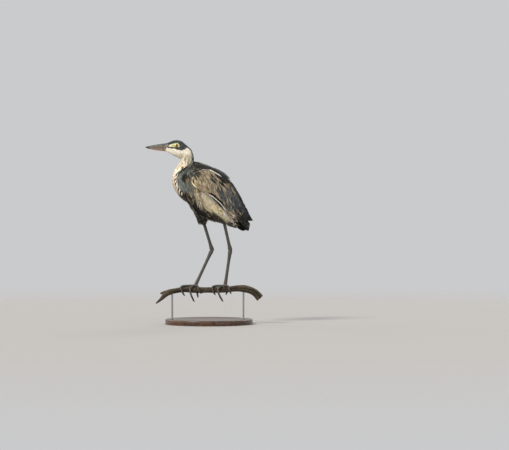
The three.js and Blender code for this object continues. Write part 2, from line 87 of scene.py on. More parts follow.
# The folded wing's edges as [a, h], and the round that it lies on as [a, middle, half height, half width].
WING_UPPER = np.array([
    [-13, 9], [-5, 34], [14, 58], [50, 78], [108, 84], [158, 92], [200, 90], [244, 71],
    [282, 50], [322, 25], [363, 6],
])
WING_LOWER = np.array([
    [-13, 3], [-6, -12], [12, -24], [50, -25], [104, -19], [158, -25], [204, -37],
    [240, -40], [276, -33], [320, -14], [363, 4],
])
WING_ROUND = np.array([
    [-13, 8, 72, 55], [14, 6, 92, 66], [50, 4, 102, 71], [104, 1, 108, 74], [158, -1, 99, 71],
    [200, -3.5, 91.8, 61], [244, -4, 73.5, 50], [282, 0, 49, 38], [322, 3, 21.5, 25], [364, 6, 4, 12],
])
# The closed tail's roof: [a, ridge, half width, half thickness].
TAIL_ROWS = np.array([
    [200, 16, 12, 9], [240, 9, 17, 9], [280, 1, 22, 8], [320, -5, 25, 6], [352, -10, 26, 4.5],
    [362, -13, 22, 3],
])
TAIL_DROP = 1.5
# Mandibles: [s, outer edge, half width] in the head's frame.
UPPER_BILL = np.array([
    [66, 33, 7.5], [84, 34.2, 9.4], [104, 32.0, 8.5], [124, 29.0, 7.2], [144, 25.6, 5.5], [164, 21.5, 3.4],
    [183, 16.6, 1.0],
])
LOWER_BILL = np.array([
    [62, 0.5, 7], [84, -1.2, 9], [104, -0.4, 7.9], [124, 1.6, 6.5], [144, 4.4, 4.8], [162, 8.2, 2.9],
    [179, 13.6, 0.9],
])
MOUTH_LINE = 15.4
MOUTH_GAP = 0.18
EYE_CENTRE = np.array([12.8, 46, 22])
EYE_RADIUS, LID_RADIUS, PUPIL = 8.6, 5.0, 3.0  # of the ball, the open eye's rim and the pupil
IRIS_EDGE = (4.3, 4.9)  # from the eye's middle, where the iris darkens towards its rim


def from_frame(origin, axes, coords):
    coords = np.asarray(coords, float)
    return origin + coords @ np.array(axes)


def in_frame(origin, axes, points):
    return (points - origin) @ np.array(axes).T


BODY_AXES = (LEFTWARD, BACKWARD, UPWARD)
HEAD_AXES = (HEAD_LEFT, BILLWARD, ZENITH)
PERCH_AXES = (ALONG_PERCH, OFF_PERCH, ZENITH)
on_body = functools.partial(from_frame, SHOULDER, BODY_AXES)  # [left, along the back, up]
on_head = functools.partial(from_frame, HEAD_PIVOT, HEAD_AXES)  # [left, towards the bill, up]
in_body = functools.partial(in_frame, SHOULDER, BODY_AXES)
in_head = functools.partial(in_frame, HEAD_PIVOT, HEAD_AXES)
in_perch = functools.partial(in_frame, np.zeros(3), PERCH_AXES)


def step(value, start, end):
    """0 before start, 1 after end, smooth between."""
    share = np.clip((value - start) / (end - start), 0, 1)
    return share * share * (3 - 2 * share)


def bell(value, centre, width):
    """1 at the centre, and next to nothing two widths away."""
    return np.exp(-(((value - centre) / width) ** 2))


def along(rows, at, column=1):
    return np.interp(at, rows[:, 0], rows[:, column])


def unit(vectors):
    return vectors / np.maximum(np.linalg.norm(vectors, axis=-1, keepdims=True), 1e-9)


def wobble(points, size, seed):
    """A smooth random field of about -1 to 1 with lumps of this size in mm."""
    rng = np.random.default_rng(seed)
    waves = rng.normal(size=(3, 9)) * (2.2 / size)
    return np.sin(points @ waves + rng.uniform(0, 2 * math.pi, 9)).sum(1) / 3


def smooth_rows(rows, share):
    """A smooth curve through rows, at shares 0 to 1 of its rows."""
    rows = np.asarray(rows, float)
    place = np.asarray(share, float) * (len(rows) - 1)
    low = np.clip(place.astype(int), 0, len(rows) - 2)
    t = (place - low)[:, None]
    before, a, b, after = (rows[np.clip(low + k, 0, len(rows) - 1)] for k in (-1, 0, 1, 2))
    return 0.5 * (2 * a + (b - before) * t + (2 * before - 5 * a + 4 * b - after) * t**2
                  + (3 * a - before - 3 * b + after) * t**3)


# ---- Settings ----


def linear(srgb):
    """sRGB hex to linear red, green and blue."""
    values = [int(srgb[i : i + 2], 16) / 255 for i in (1, 3, 5)]
    return [v / 12.92 if v <= 0.04045 else ((v + 0.055) / 1.055) ** 2.4 for v in values]


def colour(name, description, srgb):
    return bpy.props.FloatVectorProperty(
        name=name, description=description, subtype="COLOR", size=3, min=0, max=1, default=linear(srgb)
    )


def length(name, description, millimetres):
    return bpy.props.FloatProperty(
        name=name, description=description, subtype="DISTANCE", unit="LENGTH", min=0, default=millimetres * MM
    )


class HeronCoatSettings(bpy.types.PropertyGroup):
    """Colours and sizes of the plumage."""

    cap: colour("Cap", "Slate of the crown and hindneck", "#33373a")
    cheek: colour("Cheek", "White of the cheek, chin and throat", "#f8f2e0")
    neck: colour("Upper neck", "Cream grey of the upper neck", "#dbd0b4")
    fleck: colour("Neck flecks", "Grey brown flecks of young plumage on the neck", "#857f6d")
    buff: colour("Front stripe", "Buff of the foreneck's stripe", "#eed9a8")
    rufous: colour("Rufous", "Orange buff edges of the foreneck's feathers", "#c48a50")
    streak: colour("Streaks", "Dark streaks along the front stripe and the breast", "#302f26")
    slate: colour("Slate", "Slate of the lower neck's sides", "#7f8782")
    mantle: colour("Mantle", "Dark slate of the back", "#292a27")
    rim: colour("Pale rim", "White of the line between back and wing", "#f0ede3")
    plume: colour("Breast plumes", "Buff plumes at the breast's side", "#a8967a")
    flank: colour("Flank", "Cream of the flank", "#e2d3aa")
    # Painted shade: this near black stands for the shadow under the body and on the thighs' inner sides, not
    # for their feathers' own tone.
    belly: colour("Belly", "Olive black of the belly and the thighs' inner sides", "#15130e")
    vent: colour("Vent", "Pinkish cream beside the tail", "#d0bfa8")
    covert: colour("Wing coverts", "Grey brown of the wing", "#8f7e68")
    covert_edge: colour("Covert edges", "Pale edges of the wing coverts", "#bba98b")
    covert_dark: colour("Covert centres", "Dark brown centres of the wing coverts", "#5c5142")
    covert_slate: colour("Slate coverts", "Blue slate of the wing's streaks and tertials", "#3b454c")
    quill: colour("Quills", "Black of the primaries and the tail", "#181817")
    depth: length("Coat depth", "How far the skin lies under the feathers' tips on the body", 2.4)


class HeronBareSettings(bpy.types.PropertyGroup):
    """Colours of the bare parts."""

    face: colour("Face", "Yellow green skin before the eye", "#d3cf92")
    lid: colour("Lid", "Rim of the eye", "#a8954a")
    # The iris's amber is darker than a bright yellow iris: partly the young bird's own tone, partly painted
    # shade over the eye.
    iris: colour("Iris", "Amber of the iris", "#b98a2c")
    leg: colour("Leg", "Grey black scales of the leg", "#3a3730")
    leg_edge: colour("Scale edges", "Paler edges of the leg's scales", "#544e44")
    horn: colour("Upper bill", "Grey horn of the upper bill", "#66675e")
    horn_flesh: colour("Bill flesh", "Pinkish horn of the lower bill and the gape", "#8f7c70")
    horn_pale: colour("Bill edge", "Orange yellow of the lower bill's edge", "#c89a58")
    horn_tip: colour("Bill tip", "Black of the bill's tip", "#24211f")
    claw: colour("Claw", "Black horn of the claws", "#1f1c1a")


class HeronStandSettings(bpy.types.PropertyGroup):
    """Colours and sizes of the perch and its stand."""

    bark: colour("Wood", "Weathered wood of the branch", "#4a4033")
    bark_dark: colour("Cracks", "Dark of its cracks and hollows", "#1f1b16")
    bark_pale: colour("Silvered wood", "Sun bleached ridges", "#776a54")
    walnut: colour("Base", "Walnut of the base", "#5a3c26")
    walnut_dark: colour("Base grain", "Dark grain of the base", "#2e1d12")
    steel: colour("Rods", "Brushed steel of the rods", "#a9a9a6")
    relief: length("Wood relief", "Depth of the grooves in the weathered wood", 1.0)


class HeronStageSettings(bpy.types.PropertyGroup):
    """The camera, the floor and the lights."""

    distance: length("Camera distance", "From the camera to the bird", 8000)
    view_width: length("View width", "Width of the view at the bird", 2214)
    floor: colour("Floor", "Pale matt floor", "#a9a8a7")
    air: colour("Surroundings", "Pale surroundings", "#dfe0e2")


SETTINGS = {
    "heron_coat": HeronCoatSettings,
    "heron_bare": HeronBareSettings,
    "heron_stand": HeronStandSettings,
    "heron_stage": HeronStageSettings,
}


def pick(name):
    """A setting's value: an array for a colour, metres for a length."""
    group = next(group for group, kind in SETTINGS.items() if name in kind.__annotations__)
    return np.array(getattr(getattr(bpy.context.scene, group), name))


# ---- Mesh tools ----


def linked(name, data):
    """A new object in the scene."""
    made = bpy.data.objects.new(name, data)
    bpy.context.scene.collection.objects.link(made)
    return made


def make_mesh(name, points, *faces):
    """An object from points in mm and arrays of corners."""
    mesh = bpy.data.meshes.new(name)
    corners = [list(face) for group in faces for face in group]
    mesh.from_pydata((np.asarray(points) * MM).tolist(), [], corners)
    mesh.validate()
    return linked(name, mesh)


def tube(rings, around, start=0, closed=False):
    """Quads between rings of points numbered from start; closed, the last ring meets the first."""
    here = start + np.arange(rings * around).reshape(rings, around)
    faces = np.stack([here, np.roll(here, -1, 1), np.roll(here, (-1, -1), (0, 1)), np.roll(here, -1, 0)], -1)
    return faces[: rings if closed else rings - 1].reshape(-1, 4)


TURNED_OVER = [0, 3, 2, 1]  # a quad's corners the other way round


def cap(hub, ring):
    """Triangles from one point to a ring of points."""
    return np.stack([np.full(len(ring), hub), ring, np.roll(ring, -1)], 1)


def read(items, field, width=1, kind=np.int32):
    """A field of Blender's items as an array, with this many numbers for each."""
    flat = np.zeros(len(items) * width, kind)
    items.foreach_get(field, flat)
    return flat.reshape(-1, width) if width > 1 else flat


def points_of(made):
    """The vertices of an object, in mm."""
    return read(made.data.vertices, "co", 3, np.float32).astype(float) / MM


def set_points(made, points):
    made.data.vertices.foreach_set("co", (points * MM).astype(np.float32).ravel())
    made.data.update()


def edges_of(made):
    return read(made.data.edges, "vertices", 2)


def triangles_of(made):
    made.data.calc_loop_triangles()
    return read(made.data.loop_triangles, "vertices", 3)


def tree_of(points, triangles):
    return BVHTree.FromPolygons(points.tolist(), triangles.tolist())


def nearest_on(tree, points):
    """The nearest place on a tree to each point, and its triangle."""
    found = [tree.find_nearest(point) for point in points.tolist()]
    return np.array([hit[0][:] for hit in found]), np.array([hit[2] for hit in found])


def nearest_row(points, line):
    """The number of the nearest of a line's points to each point."""
    blocks = np.array_split(points, len(points) // 3000 + 1)
    return np.concatenate([((block[:, None] - line) ** 2).sum(2).argmin(1) for block in blocks])


def summed(index, values, count):
    """Sums of the rows of values that have the same index."""
    return np.stack([np.bincount(index, column, count) for column in values.T], 1)


UNSHRINK = 1.05  # how much of each smoothing move is undone, so that thin parts keep their girth


def relaxed(values, edges, rounds, weight=0.5, back=0.0):
    """Values moved towards the mean of their neighbours; back undoes the shrinking."""
    values = np.array(values, float).reshape(len(values), -1)
    weight = np.reshape(weight, (-1, 1))
    count = np.bincount(edges.ravel(), minlength=len(values))[:, None]
    ends = np.concatenate([edges, edges[:, ::-1]])
    for turn in range(rounds * (2 if back else 1)):
        pull = summed(ends[:, 0], values[ends[:, 1]], len(values)) / np.maximum(count, 1) - values
        values = values + pull * weight * (-back if back and turn % 2 else 1)
    return values


def add_attribute(made, name, values):
    """Stores a number or a vector for each vertex, or the colour called tint."""
    values = np.asarray(values, np.float32)
    kind, field = ("FLOAT", "value") if values.ndim == 1 else ("FLOAT_VECTOR", "vector")
    if name == "tint":
        kind, field = "FLOAT_COLOR", "color"
        values = np.column_stack([values, np.ones(len(values), np.float32)])
    made.data.attributes.new(name, kind, "POINT").data.foreach_set(field, values.ravel())


def modified(made, kind, **settings):
    """The object with a modifier made part of its mesh."""
    modifier = made.modifiers.new(kind, kind)
    for name, value in settings.items():
        setattr(modifier, name, value)
    evaluated = made.evaluated_get(bpy.context.evaluated_depsgraph_get())
    old = made.data
    mesh = bpy.data.meshes.new_from_object(evaluated)
    made.modifiers.clear()
    made.data = mesh
    bpy.data.meshes.remove(old)
    return made


def remeshed(made, voxel):
    return modified(made, "REMESH", mode="VOXEL", voxel_size=voxel * MM)


@contextlib.contextmanager
def editing(made):
    """Opens an object's mesh for editing and writes it back."""
    shape = bmesh.new()
    shape.from_mesh(made.data)
    shape.verts.ensure_lookup_table()
    yield shape
    shape.to_mesh(made.data)
    shape.free()


def joined_nodes(name, nodes, swell=0.0, shape=None):
    """A copy of CAD nodes in one mesh, each swollen by so many mm."""
    points, faces = [], []
    for node_name in nodes:
        part = bmesh.new()
        part.from_mesh(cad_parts[node_name].data)
        bmesh.ops.remove_doubles(part, verts=part.verts, dist=1e-5)
        bmesh.ops.recalc_face_normals(part, faces=part.faces)
        part.normal_update()
        part.verts.index_update()
        faces += [[len(points) + vertex.index for vertex in face.verts] for face in part.faces]
        for vertex in part.verts:
            vertex.co += vertex.normal * swell * MM
            if shape:
                shape(node_name, vertex)
            points.append(np.array(vertex.co) / MM)
        part.free()
    return make_mesh(name, points, faces)


def keep_largest(made):
    """Drops the small shells that a remesh leaves inside."""
    one, other = edges_of(made).T
    new, label = np.arange(len(made.data.vertices)), None
    while not np.array_equal(new, label):
        label, low = new, np.minimum(new[one], new[other])
        new = label.copy()
        np.minimum.at(new, one, low)
        np.minimum.at(new, other, low)
        new = new[new]
    loose = np.nonzero(label != np.bincount(label).argmax())[0]
    with editing(made) as shape:
        bmesh.ops.delete(shape, geom=[shape.verts[i] for i in loose], context="VERTS")


class Patch:
    """Triangles to scatter things on, in mm."""

    def __init__(self, points, triangles):
        self.points, self.triangles = points, triangles
        a, b, c = (points[triangles[:, k]] for k in range(3))
        self.centres = points[triangles].mean(1)
        self.crosses = np.cross(b - a, c - a)
        self.areas = np.linalg.norm(self.crosses, axis=1) / 2


class Surface(Patch):
    """A mesh that other things are laid on, with smooth normals."""

    def __init__(self, made, rounds):
        super().__init__(points_of(made), triangles_of(made))
        normals = sum(summed(self.triangles[:, k], self.crosses, len(self.points)) for k in range(3))
        self.normals = unit(relaxed(unit(normals), edges_of(made), rounds))
        self.tree = tree_of(self.points, self.triangles)

    def nearest(self, points):
        """The nearest places and their smooth normals."""
        places, faces = nearest_on(self.tree, points)
        corners = self.triangles[faces]
        gaps = np.linalg.norm(self.points[corners] - places[:, None], axis=2)
        weights = 1 / np.maximum(gaps, 0.05)
        return places, unit((self.normals[corners] * weights[..., None]).sum(1))


def finish_piece(made, finish, replaced=(), sharp=180):
    """Gives a piece its material and body, and hides the nodes it stands for; edges over sharp degrees stay
    crisp."""
    made.data.materials.append(finish)
    made.data.shade_smooth()
    if sharp < 180:
        made.data.set_sharp_from_angle(angle=math.radians(sharp))
    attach(made, BODY)
    if replaced:
        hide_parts(*replaced)


# ---- The bird's form ----

FLESH = ["trunk", "neck_lower", "neck_upper", "tail", "head", "wing_left", "wing_right"]
FLESH += [f"{part}_{side}" for side in SIDES for part in ("thigh", "shin", "shank", "foot")]
FLESH += [f"toe_{side}_{toe}" for side in SIDES for toe in TOES]
HARD = ["bill_upper", "bill_lower", "eye_left", "eye_right"]
HEAD, NECK, TRUNK, WING, TAIL, THIGH, LEG, BILL = range(8)
KINDS = {
    "head": HEAD, "eye": HEAD, "neck": NECK, "trunk": TRUNK, "wing": WING, "tail": TAIL, "thigh": THIGH,
    "shin": LEG, "shank": LEG, "foot": LEG, "toe": LEG, "bill": BILL,
}


@functools.cache
def cad_surface():
    """All solids of the bird as one tree, with the kind of part of each triangle."""
    points, triangles, kinds, start = [], [], [], 0
    for name in FLESH + HARD:
        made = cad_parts[name]
        points.append(points_of(made))
        triangles.append(triangles_of(made) + start)
        kinds += [KINDS[name.split("_")[0]]] * len(triangles[-1])
        start += len(points[-1])
    return tree_of(np.concatenate(points), np.concatenate(triangles)), np.array(kinds)


def kinds_at(points):
    tree, kinds = cad_surface()
    return kinds[nearest_on(tree, points)[1]]


BILL_PLUG = 92.0  # how far forward the skin runs under the horn
FORM_SWELL = 0.4  # closes the joins between the solids
FORM_VOXEL, PERCH_VOXEL, CLAW_VOXEL = 1.5, 1.25, 0.45
LIMB_SWELL = 1.0  # how much thicker the bare legs are than their solids
CLAW_SWELL = 0.9
REAR_SINK = 5.0  # how much lower the rear of the back lies, so that its feathers end on the outline


def fitted(name, vertex):
    """Plumps the bare limbs, and ends the bill in a short stub, which the skin closes round."""
    if KINDS[name.split("_")[0]] == LEG:
        vertex.co += vertex.normal * LIMB_SWELL * MM
    if not name.startswith("bill"):
        return
    x, s, h = in_head(np.array(vertex.co) / MM)
    beyond = max(0.0, s - BILL_PLUG)
    shrink = 1 - 0.5 * min(beyond / 8, 1)
    place = on_head([x * shrink, BILL_PLUG + beyond * 0.09, MOUTH_LINE + (h - MOUTH_LINE) * shrink])
    vertex.co = place * MM


@functools.cache
def form():
    """The bird's outer form over all its flesh, which the feathers' tips reach, and each vertex's kind."""
    made = remeshed(joined_nodes("form", FLESH + HARD, FORM_SWELL, fitted), FORM_VOXEL)
    keep_largest(made)
    edges = edges_of(made)
    points = points_of(made)
    kinds = kinds_at(points)
    slack = relaxed(np.where(kinds == LEG, 0.0, 1.0), edges, 3)
    fine = relaxed(points, edges, 8, 0.6, UNSHRINK)
    broad = relaxed(points, edges, 30, np.where(kinds == HEAD, 0.25, 0.6) * slack[:, 0])
    points = fine * (1 - slack) + broad * slack
    _, a, h = in_body(points).T
    rear = step(a, 165, 190) * (1 - step(a, 320, 350)) * step(h - along(WING_UPPER, a), -22, -4)
    set_points(made, points - REAR_SINK * rear[:, None] * UPWARD)
    return made, kinds


@functools.cache
def lying_surface():
    return Surface(form()[0], 8)


# ---- Markings ----

# The cap's lower edge, the bare face's two edges, as [s, h], and where the bill's feathering
# ends, as [h, s], in the head's frame.
CHEEK_LINE = np.array([
    [-30, 12], [-8, 12], [2.6, 11], [6, 8], [12, 2], [18, 0.3], [26, 0.6], [34, 2.5], [43, 5.2], [61, 9.3],
    [82, 12.5], [92, 14],
])
FACE_TOP = np.array([
    [30, 20], [34, 28.4], [38, 32.5], [43, 34.6], [55.5, 32.8], [68, 29.2], [75.5, 26], [83, 20],
])
FACE_BASE = np.array([[30, 18], [33, 14.5], [38, 13], [52, 14.6], [70, 16.8], [83, 18.2]])
FEATHER_FRONT = np.array([[-5, 93], [5, 90], [10, 87], [15, 84], [20, 80], [26, 76], [31, 86], [35, 90]])
# How far round the neck the front stripe reaches, as [height, degrees].
STRIPE_EDGE = np.array([[555, 60], [600, 46], [640, 46], [665, 66], [690, 96]])
# The cream flank's lower edge, as [a, h].
FLANK_EDGE = np.array([[60, -40], [82, -62], [103, -76], [150, -78], [224, -75], [240, -70]])
# The wing's slate streaks lie between these lines, as [a, lowest h, highest h].
STREAK_ZONE = np.array([
    [100, 12, 26], [112, 2, 34], [127, -6, 38], [142, -13, 42], [170, -24, 48], [206, -35, 46],
    [231, -28, 42], [256, -15, 24],
])


NECK_POINTS = 160


@functools.cache
def neck_path():
    """Fine points down the neck's middle, with the way forward from it and its radius there."""
    rows = smooth_rows(NECK_ROWS, np.linspace(0, 1, NECK_POINTS))
    middle = np.column_stack([0 * rows[:, 0], rows[:, :2]])
    down = unit(np.gradient(middle, axis=0))
    return middle, down[:, [0, 2, 1]] * [1, 1, -1], rows[:, 2]


def round_neck(points):
    """Degrees round the neck from its front."""
    middle, front, _ = neck_path()
    near = nearest_row(points, middle)
    off = points - middle[near]
    return np.degrees(np.arctan2(np.abs(off[:, 0]), (off * front[near]).sum(1)))


def bill_base(points):
    """1 on the skin in front of the feathering, at the bill."""
    _, s, h = in_head(points).T
    return step(s - along(FEATHER_FRONT, h), -0.8, 0.8) * (s > 60)


def bare_face(points, grow=0.0):
    """1 on the bare skin before and round the eye."""
    x, s, h = in_head(points).T
    inside = np.minimum(along(FACE_TOP, s) + grow - h, h - along(FACE_BASE, s) + grow)
    return step(inside, -0.5, 0.7) * ((s > 30 - grow) & (s < 90)) * (np.abs(x) > 4)


THIGH_LAG = 55.0  # how far the right thigh lies before the left one


def over(base, paint, share):
    """Paint laid over a base by a share for each point. Both are colours, or a setting's name."""
    base, paint = (pick(tone) if isinstance(tone, str) else tone for tone in (base, paint))
    return base + (paint - base) * np.clip(share, 0, 1)[:, None]


def mottled(base, chance, **others):
    """Some of the feathers take another tone: each of others has its share and its strength."""
    tint, start = base, 0.0
    for name, (share, strength) in others.items():
        tint = over(tint, name, ((chance >= start) & (chance < start + share)) * strength)
        start += share
    return tint


def head_marks(points, chance):
    x, s, h = in_head(points).T
    ragged = wobble(points, 7, 3) * 0.8 + (chance - 0.5) * 1.6
    head = mottled("cheek", chance, neck=(0.3, 0.35))
    # The lower head and throat take the neck's cream grey and grey flecks: partly the plumage's own mottling,
    # partly painted shade under the chin.
    throat = mottled("neck", chance, cheek=(0.25, 0.5), fleck=(0.25, 0.6))
    head = over(head, throat, 1 - step(h + 3 * ragged, -22, -8))
    dark = mottled("cap", chance, slate=(0.2, 0.4))
    head = over(head, dark, step(h - along(CHEEK_LINE, s) - ragged, -0.4, 0.9))
    behind = step(2 + 2 * ragged - s, 0, 4) * step(15 + 2 * ragged - np.abs(x), 0, 3)
    return over(head, dark, behind * (h > -40))


def stripe_marks(points, chance, angle, edge):
    """The foreneck's buff stripe with its white and its dark streaks, which end in a dark edge."""
    height = points[:, 2]
    clump = neck_clump(height, angle)
    front = mottled(
        "buff", chance, rufous=(0.16, 0.75), cheek=(0.34, 0.9), streak=(0.18, 0.9), fleck=(0.1, 0.8)
    )
    front = over(front, "rufous", step(angle, 6, 14) * (1 - step(angle, 22, 32)) * 0.3)
    front = over(front, "cheek", step(-clump, 0.1, 0.5) * 0.8)
    front = over(front, "streak", step(clump, 0.3, 0.6) * step(angle, 12, 22) * 0.85)
    rear = step(angle, edge - 15, edge - 9) * (chance > 0.4) * (height < 665)
    return over(front, "streak", rear * 0.85)


def neck_clump(height, angle):
    """Streaks of about -1 to 1 that run down the neck."""
    return wobble(np.column_stack([0.5 * angle + 0.25 * height, 0.3 * height, 0 * height]), 5, 5)


def neck_marks(points, chance):
    height, angle, luck = points[:, 2], round_neck(points), chance - 0.5
    upper = mottled("neck", chance, cheek=(0.2, 0.5))
    flecks = step(neck_clump(height, angle) + luck * 1.4, 0.0, 0.45)
    upper = over(upper, "fleck", flecks * step(angle, 10, 35) * 0.8)
    edge = along(STRIPE_EDGE, height) + wobble(points, 20, 9) * 4 + luck * 8
    front = stripe_marks(points, chance, angle, edge)
    sides = mottled("slate", chance, mantle=(0.25, 0.4), fleck=(0.2, 0.3), streak=(0.15, 0.5))
    sides = over(sides, "mantle", step(angle, 92, 128))
    lower = over(front, hollow_shade_marks(points, sides), step(angle, edge - 3, edge + 3))
    # At the neck's foot, the lower breast's painted shade, streaked.
    lower = over(lower, low_breast_shade(chance), 1 - step(height + 14 * luck, 556, 572))
    neck = over(upper, lower, 1 - step(height + wobble(points, 16, 7) * 5 + luck * 8, 682, 696))
    band = step(angle + 8 * luck + 4 * wobble(points, 12, 15), 115, 121)
    return over(neck, "quill", band * step(height, 640, 670) * 0.9)


# The lower breast: the plumage's own streaks and flecks over painted shade of the underside.
def low_breast_shade(chance):
    return mottled("belly", chance, streak=(0.25, 0.6), plume=(0.16, 0.55), fleck=(0.14, 0.5))


def breast_marks(points, chance):
    _, a, h = in_body(points).T
    breast = mottled("slate", chance, mantle=(0.22, 0.5), streak=(0.14, 0.6), fleck=(0.1, 0.3))
    breast = over(breast, "mantle", 0.55 * step(a + 0.5 * h, -36, -8))
    plume = mottled("plume", chance, flank=(0.3, 0.7), covert_dark=(0.2, 0.7), rim=(0.08, 0.6))
    breast = over(breast, plume, step(a + 8 * chance + 1.17 * h, -8, 3) * step(-h, -5, 6))
    # Low on the breast, the painted shade of the underside, streaked.
    return over(breast, low_breast_shade(chance), 1 - step(h - 0.15 * a + 8 * (chance - 0.5), -68, -54))


def under_marks(points, chance):
    """The pale flank above the painted shade of the underside, and the feathers under the tail, mottled black
    and pale over painted shade.
    """
    _, a, h = in_body(points).T
    flank = mottled("flank", chance, plume=(0.24, 0.25), rim=(0.1, 0.3), belly=(0.06, 0.25))
    flank = over(flank, "rim", 0.4 * step(h - along(WING_LOWER, a), -30, -8))
    # Under the flank's edge: painted shade of the underside, with the plumage's own streaks.
    belly = mottled("belly", chance, streak=(0.3, 0.5), plume=(0.12, 0.4))
    above = h - along(FLANK_EDGE, a) + 5 * wobble(points, 30, 11) + 6 * (chance - 0.5)
    under = over(belly, flank, step(above, -9, 9))
    under = over(under, "vent", step(a, 216, 232) * (chance > 0.25) * 0.8)
    under = over(under, "rim", step(a, 216, 226) * (chance < 0.16))
    # Under the tail: the coverts' own black, white and cream mottles, over painted shade.
    dark = mottled("belly", chance, quill=(0.5, 0.8), rim=(0.14, 0.95), vent=(0.12, 0.8))
    rearward = a - 264 + 1.5 * np.maximum(-58 - h, 0) + 8 * wobble(points, 14, 21)
    return over(under, dark, step(rearward, -8, 8))


def trunk_marks(points, chance):
    _, a, h = in_body(points).T
    rearward = step(a + 0.3 * h + 6 * wobble(points, 25, 13), 38, 60)
    trunk = over(breast_marks(points, chance), under_marks(points, chance), rearward)
    back = mottled("mantle", chance, slate=(0.16, 0.4), quill=(0.25, 0.5), covert=(0.12, 0.3))
    edge = 6 + 0.6 * np.clip(a, 0, 70)
    lump = 4 * wobble(points, 20, 17)
    trunk = over(trunk, back, step(h + lump - edge, 0, 10) * step(a + 0.49 * h + lump, -20, -10))
    return hollow_shade_marks(points, trunk)


def hollow_shade_marks(points, tint):
    """The black in the hollow before the wing's bend, partly the bend's own dark patch and partly painted
    shade of the crease between neck and shoulder, with the bend's own feathers pale in it.
    """
    _, a, h = in_body(points).T
    tint = over(tint, "quill", 1 - step(np.hypot((a + 27) / 19, (h + 9) / 18), 0.8, 1.1))
    return over(tint, "covert_dark", 1 - step(np.hypot((a + 13) / 17, (h + 15) / 9), 0.8, 1.1))


MANTLE_END = np.array([[3, 5], [17, 14], [43, 15], [63, 27]])  # [h, a] where the mantle ends on the wing
BLACK_EDGE = np.array([[120, 85], [150, 82], [182, 75], [229, 50], [283, 15]])  # [a, h] of its lower side


def wing_marks(points, chance):
    _, a, h = in_body(points).T
    wing = mottled("covert", chance, covert_edge=(0.3, 0.8), covert_dark=(0.28, 0.75), flank=(0.1, 0.5))
    front = mottled("plume", chance, flank=(0.14, 0.6), covert_dark=(0.36, 0.8))
    wing = over(wing, front, 1 - step(a + 0.5 * h, 20, 62))
    mantle = 1 - step(a - along(MANTLE_END, h) + 6 * chance, 0, 7)
    wing = over(wing, "mantle", mantle * step(h, -4, 4))
    inside = np.minimum(h - along(STREAK_ZONE, a), along(STREAK_ZONE, a, 2) - h)
    depth = np.minimum(inside, np.minimum(a - 98, 246 - a) * 0.6)
    # Streaks follow the feathers' slant of about 40 degrees, and are some 12 mm wide.
    clump = wobble(np.column_stack([0.2 * (a * 0.77 - h * 0.64), a * 0.64 + h * 0.77, 0 * a]), 9, 19)
    streaked = step(depth + 4 * clump, -3, 3) * step(clump + 0.7 * (chance - 0.5), -0.7, -0.45)
    blue = mottled("covert_slate", (chance * 7) % 1, slate=(0.25, 0.5), quill=(0.25, 0.6))
    wing = over(wing, blue, streaked * (chance > 0.1))
    wing = over(wing, "quill", 0.9 * step(h - along(BLACK_EDGE, a), -6, 2) * step(a, 110, 135))
    return over(wing, "quill", step(a - 0.3 * h + 14 * chance, 276, 300) * 0.95)


def joint_marks(points, chance):
    """The neck's tones, and the head's at its top."""
    return over(neck_marks(points, chance), head_marks(points, chance), step(points[:, 2], 716, 734))


def tail_marks(points, chance):
    return mottled("quill", chance, covert_dark=(0.2, 0.25))


def thigh_marks(points, chance):
    # Painted shade: the thighs' inner sides and their lower fronts take the shade of the underside, and some
    # outer feathers are darkened with it; only the outer sides above the shade line keep the flank's cream.
    outer = mottled("flank", chance, plume=(0.3, 0.5), belly=(0.2, 0.5))
    inner = mottled("belly", chance, streak=(0.35, 0.4), plume=(0.05, 0.3))
    x, y, z = points.T
    # The line where the painted shade ends, further forward on the right thigh.
    above = step(z + 0.68 * (y + np.where(x > 0, 0, THIGH_LAG)), 478, 490)
    return over(inner, outer, step(np.abs(x), 38, 48) * above)


MARKS = {
    HEAD: head_marks, NECK: joint_marks, TRUNK: trunk_marks, WING: wing_marks, TAIL: tail_marks,
    THIGH: thigh_marks,
}
PLAIN = 0.99  # the chance that leaves a main tone unmottled


def markings(points, kinds, chance=None):
    """The plumage's colour at points in mm; chance is one random number for each feather."""
    if chance is None:
        chance = np.full(len(points), PLAIN)
    made = np.zeros_like(points)
    for kind, marks in MARKS.items():
        chosen = kinds == kind
        if chosen.any():
            made[chosen] = marks(points[chosen], chance[chosen])
    made[kinds == LEG] = pick("leg")
    made[kinds == BILL] = pick("horn")
    return made


# ---- Materials ----

BLEND = {"data_type": "RGBA"}
SMOOTH = {"interpolation_type": "SMOOTHSTEP"}


def add(tree, kind, settings=None, **inputs):
    """Adds a node with its settings. An input is a value, a node, or a node and its output."""
    made = tree.nodes.new("ShaderNode" + kind)
    for key, value in (settings or {}).items():
        setattr(made, key, value)
    for key, value in inputs.items():
        socket = next(s for s in made.inputs if s.enabled and key in (s.identifier, s.name.replace(" ", "_")))
        if isinstance(value, bpy.types.Node):
            tree.links.new(next(s for s in value.outputs if s.enabled), socket)
        elif isinstance(value, tuple) and isinstance(value[0], bpy.types.Node):
            tree.links.new(value[0].outputs[value[1]], socket)
        elif socket.type == "RGBA":
            socket.default_value = (*value[:3], 1)
        else:
            socket.default_value = value
    return made


def material(build):
    """Makes each material once, by its name, from a function that adds its nodes and gives its shader."""

    @functools.cache
    def make(name, *settings):
        made = bpy.data.materials.new(name)
        made.use_nodes = True
        made.node_tree.nodes.clear()
        node = functools.partial(add, made.node_tree)
        node("OutputMaterial", Surface=build(node, *settings))
        return made

    return make


TINT = {"attribute_name": "tint"}


